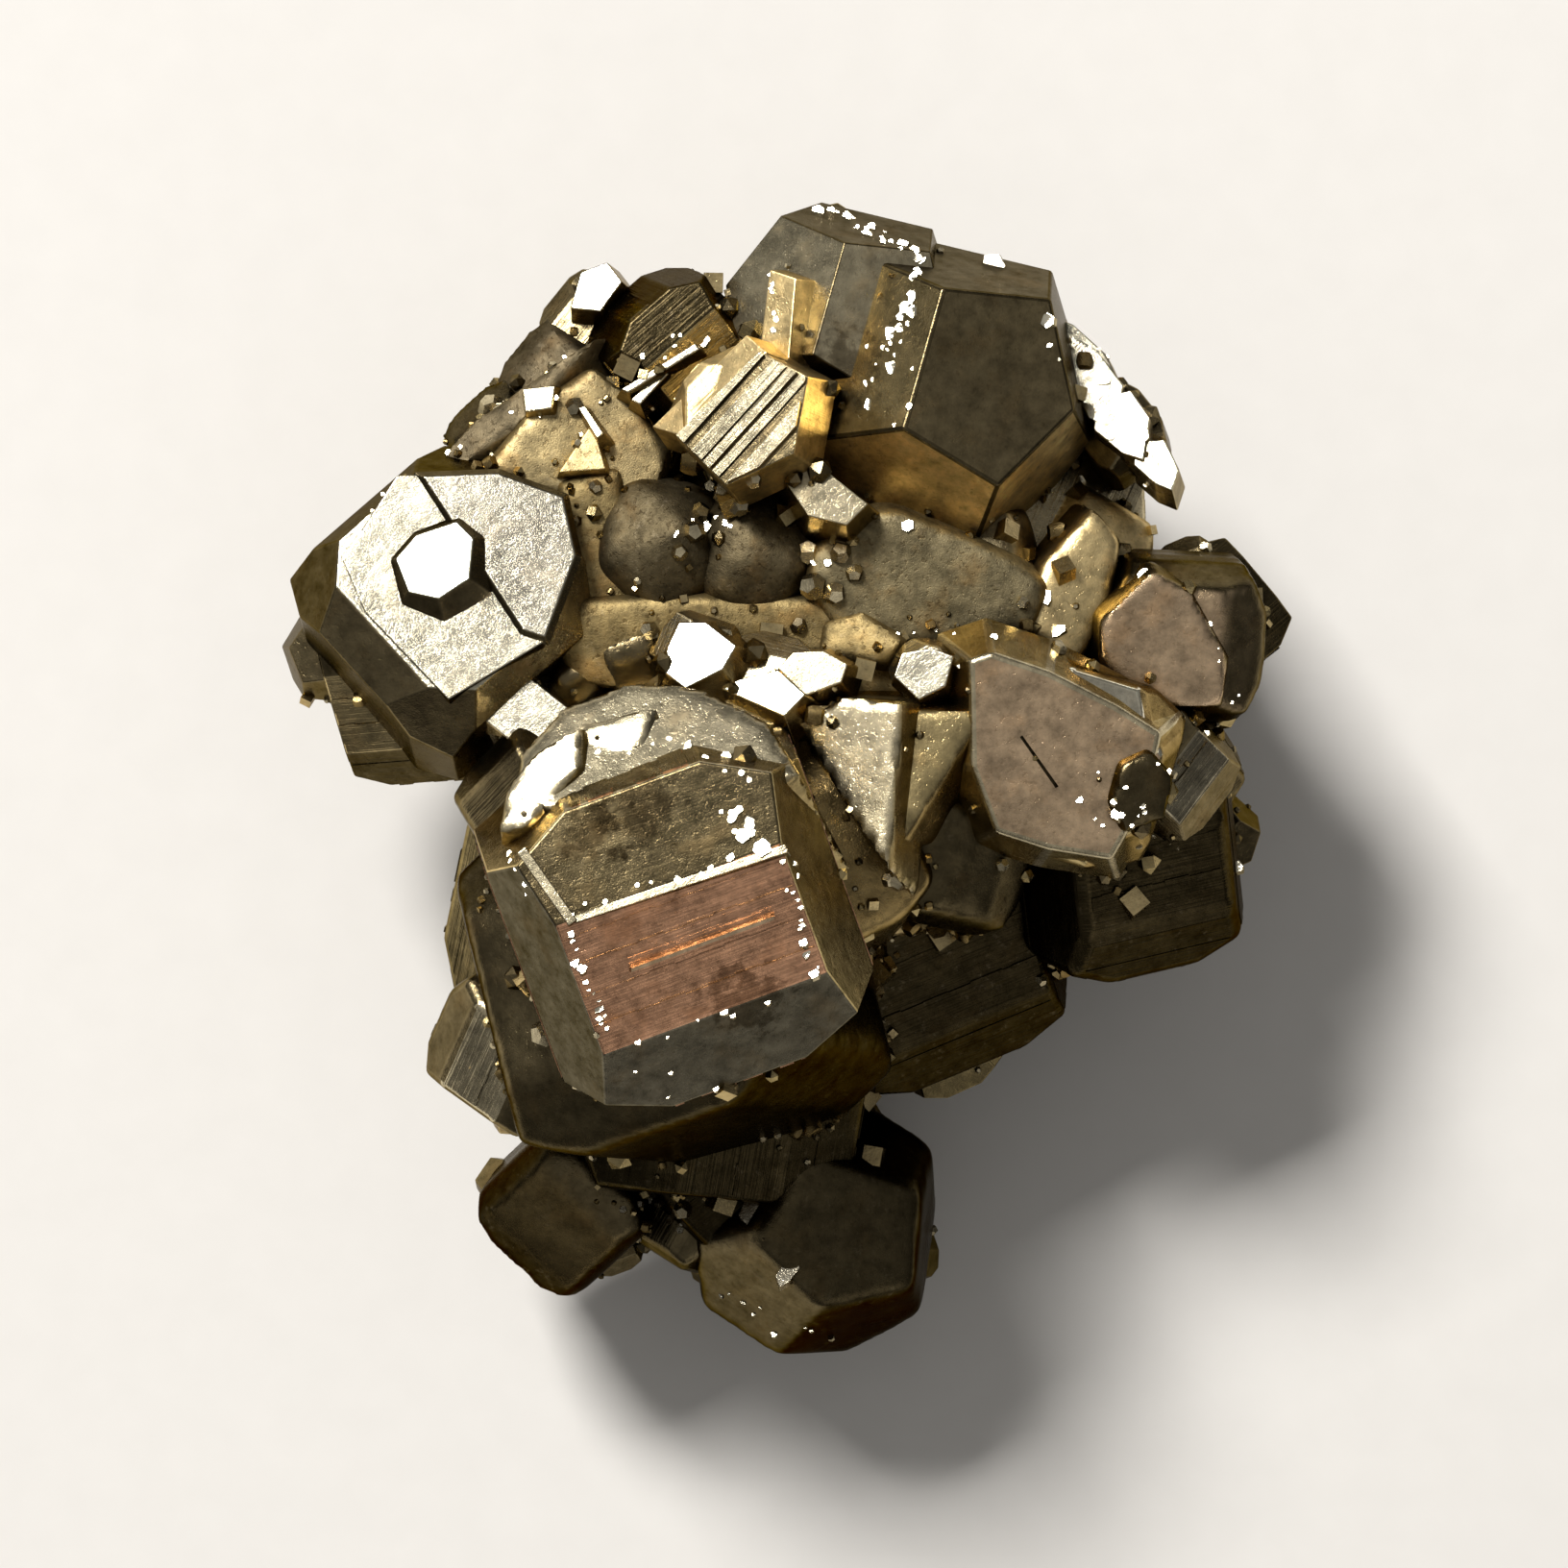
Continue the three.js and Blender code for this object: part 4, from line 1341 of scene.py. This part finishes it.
tree = skin_tree(cluster)
placed = sum(place_flake(*facts) for facts in SINGLE_SPARKLES)
for x1, y1, x2, y2, stray, count, smallest, largest in SPARKLE_STRINGS:
    small, large = SMALL_SHARE * smallest, LARGE_SHARE * largest
    for i in range(count):
        way = (i + chance.random()) / count
        x = x1 + (x2 - x1) * way + chance.gauss(0, stray)
        y = y1 + (y2 - y1) * way + chance.gauss(0, stray)
        placed += place_flake(x, y, small + (large - small) * chance.random() ** 2)
bpy.data.objects.remove(scene.objects["flake_slab"])
print("sparkles placed:", placed)

# %% [markdown]
# Real clusters are never clean in their corners. Crumb crystals fill them, a tenth to a half of a
# millimetre across. Five crumbs are cut once, with few faces and no bevel, and copied.

# %% The crumbs
# reach of the cube, pyritohedron and octahedron faces, and the tint
CRUMBS = [
    (1.0, None, None, "brass"),
    (None, 1.0, None, "pale"),
    (0.95, 1.0, None, "brown"),
    (0.9, None, 1.0, "olive"),
    (None, 1.0, 1.02, "dusk"),
]
crumb_meshes = []
for number, (cube, pyrite, octa, tint) in enumerate(CRUMBS):
    facts = crystal(
        f"crumb {number}", (0, 0, 0), 0, 0, 0, cube, pyrite, octa, tint=tint, gap=None, bevel=0.0,
    )
    make_crystal(facts, workshop)
    crumb_meshes.append(take_out(f"crumb_{number}").data)
for mesh in crumb_meshes:
    print("crumb with", triangle_count(mesh), "triangles")

# %% [markdown]
# The photograph shows where crumbs lie thick, and which faces are clean. Patches, single pale grains
# and clean faces are therefore written down as places, and only the crumbs inside a patch are left to
# chance.

# %% Where the crumbs are
PATCH_SHARE = 0.42
# centre x, centre y, radius, how many, smallest and largest size before PATCH_SHARE makes them less
PATCHES = [
    (-1.9, 5.3, 0.9, 26, 0.12, 0.34),
    (-3.0, 3.6, 0.9, 24, 0.12, 0.3),
    (-3.0, 0.9, 1.1, 26, 0.1, 0.3),
    (7.4, 0.3, 1.3, 34, 0.12, 0.42),
    (1.6, 10.0, 1.1, 22, 0.12, 0.4),
    (-3.2, -8.6, 1.3, 26, 0.12, 0.36),
    (0.3, -7.0, 1.4, 22, 0.12, 0.36),
    (-5.6, 5.8, 1.2, 26, 0.12, 0.4),
    (-3.4, 7.4, 1.2, 24, 0.12, 0.4),
    (4.2, 3.6, 1.6, 22, 0.12, 0.36),
    (1.4, 3.6, 1.4, 26, 0.12, 0.36),
    (-6.6, -2.6, 1.4, 24, 0.12, 0.36),
    (1.5, -3.0, 1.6, 26, 0.12, 0.36),
]
# x and y in millimetres, and size: the pale grains beside and between the two round dark crystals
GRAINS = [
    (0.42, 3.92, 0.24), (0.84, 3.78, 0.2), (0.28, 4.62, 0.22), (0.98, 4.62, 0.19), (1.26, 4.2, 0.16),
    (-2.1, 5.04, 0.2), (-2.38, 4.62, 0.15), (-1.96, 5.46, 0.17), (-1.4, 5.88, 0.21), (-1.12, 5.6, 0.18),
    (-1.68, 6.02, 0.17), (-0.84, 6.09, 0.15), (-3.0, 3.0, 0.17), (0.1, 3.1, 0.15), (5.5, 2.6, 0.15),
]
# x, y and radius of the faces that the photograph shows clean
CLEAN_FACES = [
    (-5.5, 1.25, 0.8), (-6.9, 4.0, 2.4), (2.7, 2.1, 0.55), (-1.9, 2.5, 0.65), (-0.8, 7.3, 1.1),
    (-2.6, -2.6, 2.6),
]
print("patches:", len(PATCHES), "grains:", len(GRAINS), "clean faces:", len(CLEAN_FACES))

# %% [markdown]
# A point for a crumb is found by shooting a ray at the skin. In the patches the rays come straight
# down, and on the flanks and the underside from all round. A crumb is only kept where a few short rays
# from its foot meet the skin again, because that is what a corner is. The single grains are put just
# where the photograph has them.

# %% Sprinkle them
# a corner is where at least two of eight rays of this length, from just above the skin, meet it again
CORNER_REACH = 0.8
CORNER_RAYS = 8
CORNER_HITS = 2
JUST_ABOVE = 0.05
# the clean faces all lie higher than this, and a crumb's middle stands out by this share of its size
CLEAN_ABOVE = 9
CRUMB_LIFT = 0.15
# the other corners: how many rays, the box that they cross and their tilts, then the lowest place for a
# crumb, the smallest crumb, and how much larger one can be
HIDDEN_TRIES = 3600
HIDDEN_BOX = ((-6, 6), (-7, 8), (3, 9))
HIDDEN_TILTS = (35, 165)
HIDDEN_LOWEST = 0.7
HIDDEN_SMALLEST = 0.06
HIDDEN_SPREAD = 0.2


def any_way():
    """A direction drawn by chance."""
    return compass(chance.uniform(0, 360), chance.uniform(0, 180))


def place_crumb(spot, normal, size, source=None):
    """A copy of one crumb, turned at random and sunk a little into the skin."""
    source = source or chance.choice(crumb_meshes)
    mesh = source.copy()
    turn = Quaternion(any_way(), chance.uniform(*ANY_TURN)).to_matrix().to_4x4()
    middle = spot + normal * size * CRUMB_LIFT
    mesh.transform(Matrix.Translation(middle) @ turn @ Matrix.Diagonal((size, size, size, 1)))
    workshop.objects.link(bpy.data.objects.new("crumb", mesh))


def is_clean(spot):
    """Whether a spot is on one of the clean faces."""
    near = any(math.dist((x, y), spot[:2]) < radius for x, y, radius in CLEAN_FACES)
    return near and spot.z > CLEAN_ABOVE


def in_corner(spot, normal):
    """Whether rays from just above the skin meet more skin nearby."""
    start = spot + normal * JUST_ABOVE
    hits = 0
    for _ in range(CORNER_RAYS):
        ray = any_way()
        if ray.dot(normal) < 0:
            ray = -ray
        hits += tree.ray_cast(start, ray, CORNER_REACH)[0] is not None
    return hits >= CORNER_HITS


for x, y, radius, count, smallest, largest in PATCHES:
    for _ in range(count):
        turn, out = chance.uniform(0, 360), radius * math.sqrt(chance.random())
        start = Vector((x, y, 0)) + compass(turn, 90) * out
        spot, normal = land(start.x, start.y)
        size = smallest + (largest - smallest) * chance.random() ** 3
        if spot and in_corner(spot, normal) and not is_clean(spot):
            place_crumb(spot, normal, size * PATCH_SHARE)
for x, y, size in GRAINS:
    spot, normal = land(x, y)
    place_crumb(spot, normal, size, crumb_meshes[1])
shown_crumbs = len(workshop.objects) - placed
for _ in range(HIDDEN_TRIES):
    inward = compass(chance.uniform(0, 360), chance.uniform(*HIDDEN_TILTS))
    start = Vector([chance.uniform(*span) for span in HIDDEN_BOX]) + inward * RAY_HEIGHT
    spot, normal, _, _ = tree.ray_cast(start, -inward)
    if spot and spot.z > HIDDEN_LOWEST and in_corner(spot, normal) and not is_clean(spot):
        place_crumb(spot, normal, HIDDEN_SMALLEST + HIDDEN_SPREAD * chance.random() ** 3)
hidden_crumbs = len(workshop.objects) - placed - shown_crumbs
print("crumbs in the patches:", shown_crumbs, "and in other corners:", hidden_crumbs)
boolean(cluster, "UNION", shelf=workshop)
for thing in list(scene.objects):
    if thing.name.startswith("crumb_"):
        bpy.data.objects.remove(thing)
print("with crumbs:", triangle_count(cluster.data), "triangles")

# %% [markdown]
# Where crystals meet, the join can leave a tiny pocket sealed inside the lump. Nobody sees it, but a
# mesh that is used for its shape should have one skin only. Everything linked to the flat that the lump
# rests on is the outer skin. So that flat is picked, the selection spreads from it, and what stays
# unselected is deleted.

# %% Keep the outer skin
FLAT_HEIGHT = 0.001


def keep_outer_skin(piece):
    """Delete the tiny pockets that joined crystals leave sealed inside, starting from the resting flat."""
    deselect_all()
    bpy.context.view_layer.objects.active = piece
    bpy.ops.object.mode_set(mode="EDIT")
    bpy.ops.mesh.select_mode(type="FACE")
    pick_faces(piece, lambda face: face.calc_center_median().z < FLAT_HEIGHT)
    bpy.ops.mesh.select_linked()
    bpy.ops.mesh.select_all(action="INVERT")
    bpy.ops.mesh.delete(type="VERT")
    bpy.ops.object.mode_set(mode="OBJECT")


keep_outer_skin(cluster)
print("outer skin alone:", triangle_count(cluster.data), "triangles")

# %% [markdown]
# Smooth shading by angle lets the narrow bevels round the edges, while stripes and joints stay sharp.
# Weighted normals then keep the big faces truly flat right up to their bevels, which matters more on a
# mirror than on anything else. Last, the mesh is shrunk from millimetres to metres and takes the place
# of the CAD node.

# %% Shade and shrink
SMOOTH_BELOW = math.radians(32)
FLAT_WEIGHT = 90

deselect_all()
bpy.context.view_layer.objects.active = cluster
cluster.select_set(True)
bpy.ops.object.shade_smooth_by_angle(angle=SMOOTH_BELOW)
weigh = cluster.modifiers.new("flat_faces", "WEIGHTED_NORMAL")
weigh.keep_sharp = True
weigh.weight = FLAT_WEIGHT
bpy.ops.object.modifier_apply(modifier=weigh.name)
cluster.scale = (METRES_PER_MM,) * 3
bpy.ops.object.transform_apply(location=True, rotation=True, scale=True)
cluster.name = "pyrite_skin"
cluster.data.name = "pyrite_skin"
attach(cluster, "root")
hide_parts("pyrite_cluster")
print("skin size in millimetres:", [round(1000 * side, 2) for side in cluster.dimensions])

# %% [markdown]
# Pyrite is a metal to the eye, so the shader is fully metallic and the colour is the colour of its
# reflections. The metal first reads what was noted on each face: its tint, its finish and its growth
# map. Places are turned back into millimetres, so that the size of every pattern below is in
# millimetres too.

# %% The metal reads the notes
pyrite = bpy.data.materials.new("tarnished_pyrite")
metal = Nodes(pyrite)
object_place = metal.node("ShaderNodeTexCoord").outputs["Object"]
place = metal.node(
    "ShaderNodeVectorMath", {"operation": "SCALE"}, {0: object_place, "Scale": 1 / METRES_PER_MM}
).outputs[0]
tint = metal.node("ShaderNodeAttribute", {"attribute_name": "tint"}).outputs["Color"]
finish = metal.node("ShaderNodeAttribute", {"attribute_name": "finish"}).outputs["Color"]
split = metal.node("ShaderNodeSeparateColor", inputs={0: finish})
striped, worn, polish = (metal.value(split.outputs[i]) for i in range(3))
growth = metal.node("ShaderNodeUVMap", {"uv_map": "growth"}).outputs["UV"]
print("nodes that read the notes:", len(metal.tree.nodes))

# %% [markdown]
# Tarnish and dirt are never even. Each kind of change is one noise of its own size: slow waves of
# brightness, a warm film in patches, dark flecks, pale dust and a mottle. The fine lines come from a
# noise that is stretched along the growth map, so they follow the stripes of each face.

# %% Patterns on the metal
ALONG_LINES = (0.35, 7.0, 1.0)
ALONG_FINE_LINES = (0.6, 22.0, 1.0)

stretched = metal.node("ShaderNodeMapping", inputs={0: growth, "Scale": ALONG_LINES}).outputs[0]
fine_stretched = metal.node(
    "ShaderNodeMapping", inputs={0: growth, "Scale": ALONG_FINE_LINES}
).outputs[0]

slow = metal.noise(place, scale=0.45)
film_noise = metal.noise(place, scale=1.1, detail=4.0, roughness=0.6)
fleck_noise = metal.noise(place, scale=8.0, roughness=0.6)
dust_noise = metal.noise(place, scale=5.0, detail=6.0, roughness=0.72)
mottle = metal.noise(place, scale=2.4, detail=5.0, roughness=0.68)
lines = metal.noise(stretched, scale=1.0, detail=2.0)
fine_lines = metal.noise(fine_stretched, scale=1.0, detail=2.0)
grain = metal.noise(place, scale=28.0, roughness=0.65)
waves = metal.noise(place, scale=2.2, detail=2.0)

# a bright edge has no film on it, and a polished face little dirt
film = metal.ramp(film_noise, low=0.5, high=0.72) * (1 - worn)
flecks = metal.ramp(fleck_noise, low=0.57, high=0.66) * (1 - polish * 0.9)
dust = metal.ramp(dust_noise, low=0.56, high=0.68) * (1 - polish * 1.05)
print("nodes with the patterns:", len(metal.tree.nodes))

# %% [markdown]
# The deep places of the lump are painted darker than the light alone makes them, as painted shade:
# the shade that falls into narrow crevices and onto the lowest crystals. Ambient occlusion finds the
# narrow places, and the height above the floor finds the low ones. Both only turn the brightness down.

# %% Colour of the metal
WARM_FILM = (1.0, 0.80, 0.58, 1.0)
PALE_DUST = (0.60, 0.50, 0.34, 1.0)
DARK_FLECK = (0.35, 0.30, 0.24, 1.0)
CREVICE_SHADE_REACH = 0.0012
# x, y, z and reach in millimetres of the dark stains on the front crystal and on the crown
STAINS = [
    (-4.1, -1.15, 15.1, 0.55), (-3.2, -0.7, 15.05, 0.75), (1.1, 8.4, 10.2, 1.0), (-1.0, -4.6, 14.3, 0.7),
]

# painted shade: ambient occlusion darkens the narrow crevices
crevice_occlusion = metal.node("ShaderNodeAmbientOcclusion", {"samples": 4}, {"Distance": CREVICE_SHADE_REACH})
crevice_openness = metal.ramp(metal.value(crevice_occlusion.outputs["AO"]), low=0.15, high=0.75)
# painted shade: the colour grows darker towards the floor
height_above = metal.value(metal.node("ShaderNodeSeparateXYZ", inputs={0: place}).outputs[2])
height_shade_fade = metal.ramp(height_above, low=2.5, high=11.0)
brightness = (0.78 + slow * 0.44) * (1 + (mottle - 0.5) * 2.4 * (1 - polish * 0.35))
# both painted shades, in the crevices and low down, turn the brightness down here
brightness = brightness * (0.4 + height_shade_fade * 0.6) * (0.55 + crevice_openness * 0.45)
grey = metal.node("ShaderNodeCombineColor", inputs={0: brightness, 1: brightness, 2: brightness})
colour = metal.blend(1.0, tint, grey.outputs[0], "MULTIPLY")
colour = metal.blend(dust * 0.12, colour, PALE_DUST)
colour = metal.blend(film * 0.5 * (1 - polish * 0.7), colour, WARM_FILM, "MULTIPLY")
colour = metal.blend(flecks * 0.42, colour, DARK_FLECK, "MULTIPLY")
for x, y, z, reach in STAINS:
    apart = metal.node("ShaderNodeVectorMath", {"operation": "DISTANCE"}, {0: place, 1: (x, y, z)})
    away = metal.value(apart.outputs["Value"])
    stain = 1 - metal.ramp(away + (mottle - 0.5) * 3.0, low=reach * 0.7, high=reach * 1.3)
    colour = metal.blend(stain * 0.6, colour, DARK_FLECK, "MULTIPLY")
print("nodes with the colour:", len(metal.tree.nodes))

# %% [markdown]
# The polish note sets the roughness. The fine lines, faint pits and waves are a bump of hundredths of a
# millimetre, which only a close look shows. The stripes, chips and edges that give the lump its shape
# are already in the mesh.

# %% Polish and fine relief
RELIEF_HEIGHT = 0.00003
EDGE_TINT = (0.44, 0.40, 0.33, 1.0)

roughness = 0.44 - polish * 0.38 + (slow - 0.5) * 0.18 + film * 0.06 + (grain - 0.5) * 0.12
height = (lines - 0.5) * striped * 0.8 + (fine_lines - 0.5) * striped * 0.5
height = height + (grain - 0.5) * 0.25 * (1 - polish * 0.85)
height = height + (waves - 0.5) * 0.6 * (1 - polish * 0.8) - flecks * 0.12
bump = metal.node("ShaderNodeBump", inputs={"Strength": 1.0, "Distance": RELIEF_HEIGHT, "Height": height})
metal.feed(metal.tree.nodes["Principled BSDF"], {
    "Base Color": colour, "Metallic": 1.0, "Specular Tint": EDGE_TINT, "Roughness": roughness,
    "Normal": bump.outputs[0],
})
cluster.data.materials.clear()
cluster.data.materials.append(pyrite)
print("nodes in the metal:", len(metal.tree.nodes))

# %% [markdown]
# The lump lies on a plain, warm white floor that runs far past the picture, so that the softbox draws
# one short shadow on it, down to the right.

# %% Floor
FLOOR_SIDE = 3.0
FIBRE_SCALE = 900.0
PAPER_DARK = (0.66, 0.645, 0.62, 1.0)
PAPER_LIGHT = (0.70, 0.685, 0.66, 1.0)

deselect_all()
bpy.ops.mesh.primitive_plane_add(size=FLOOR_SIDE, location=(0, 0, 0))
floor = bpy.context.object
floor.name = "floor"
white_paper = bpy.data.materials.new("white_paper")
paper = Nodes(white_paper)
paper_place = paper.node("ShaderNodeTexCoord").outputs["Object"]
fibre = paper.noise(paper_place, scale=FIBRE_SCALE)
paper_colour = paper.blend(fibre, PAPER_DARK, PAPER_LIGHT)
paper.feed(paper.tree.nodes["Principled BSDF"], {"Base Color": paper_colour, "Roughness": 0.8})
floor.data.materials.append(white_paper)
print("floor side:", FLOOR_SIDE, "m")
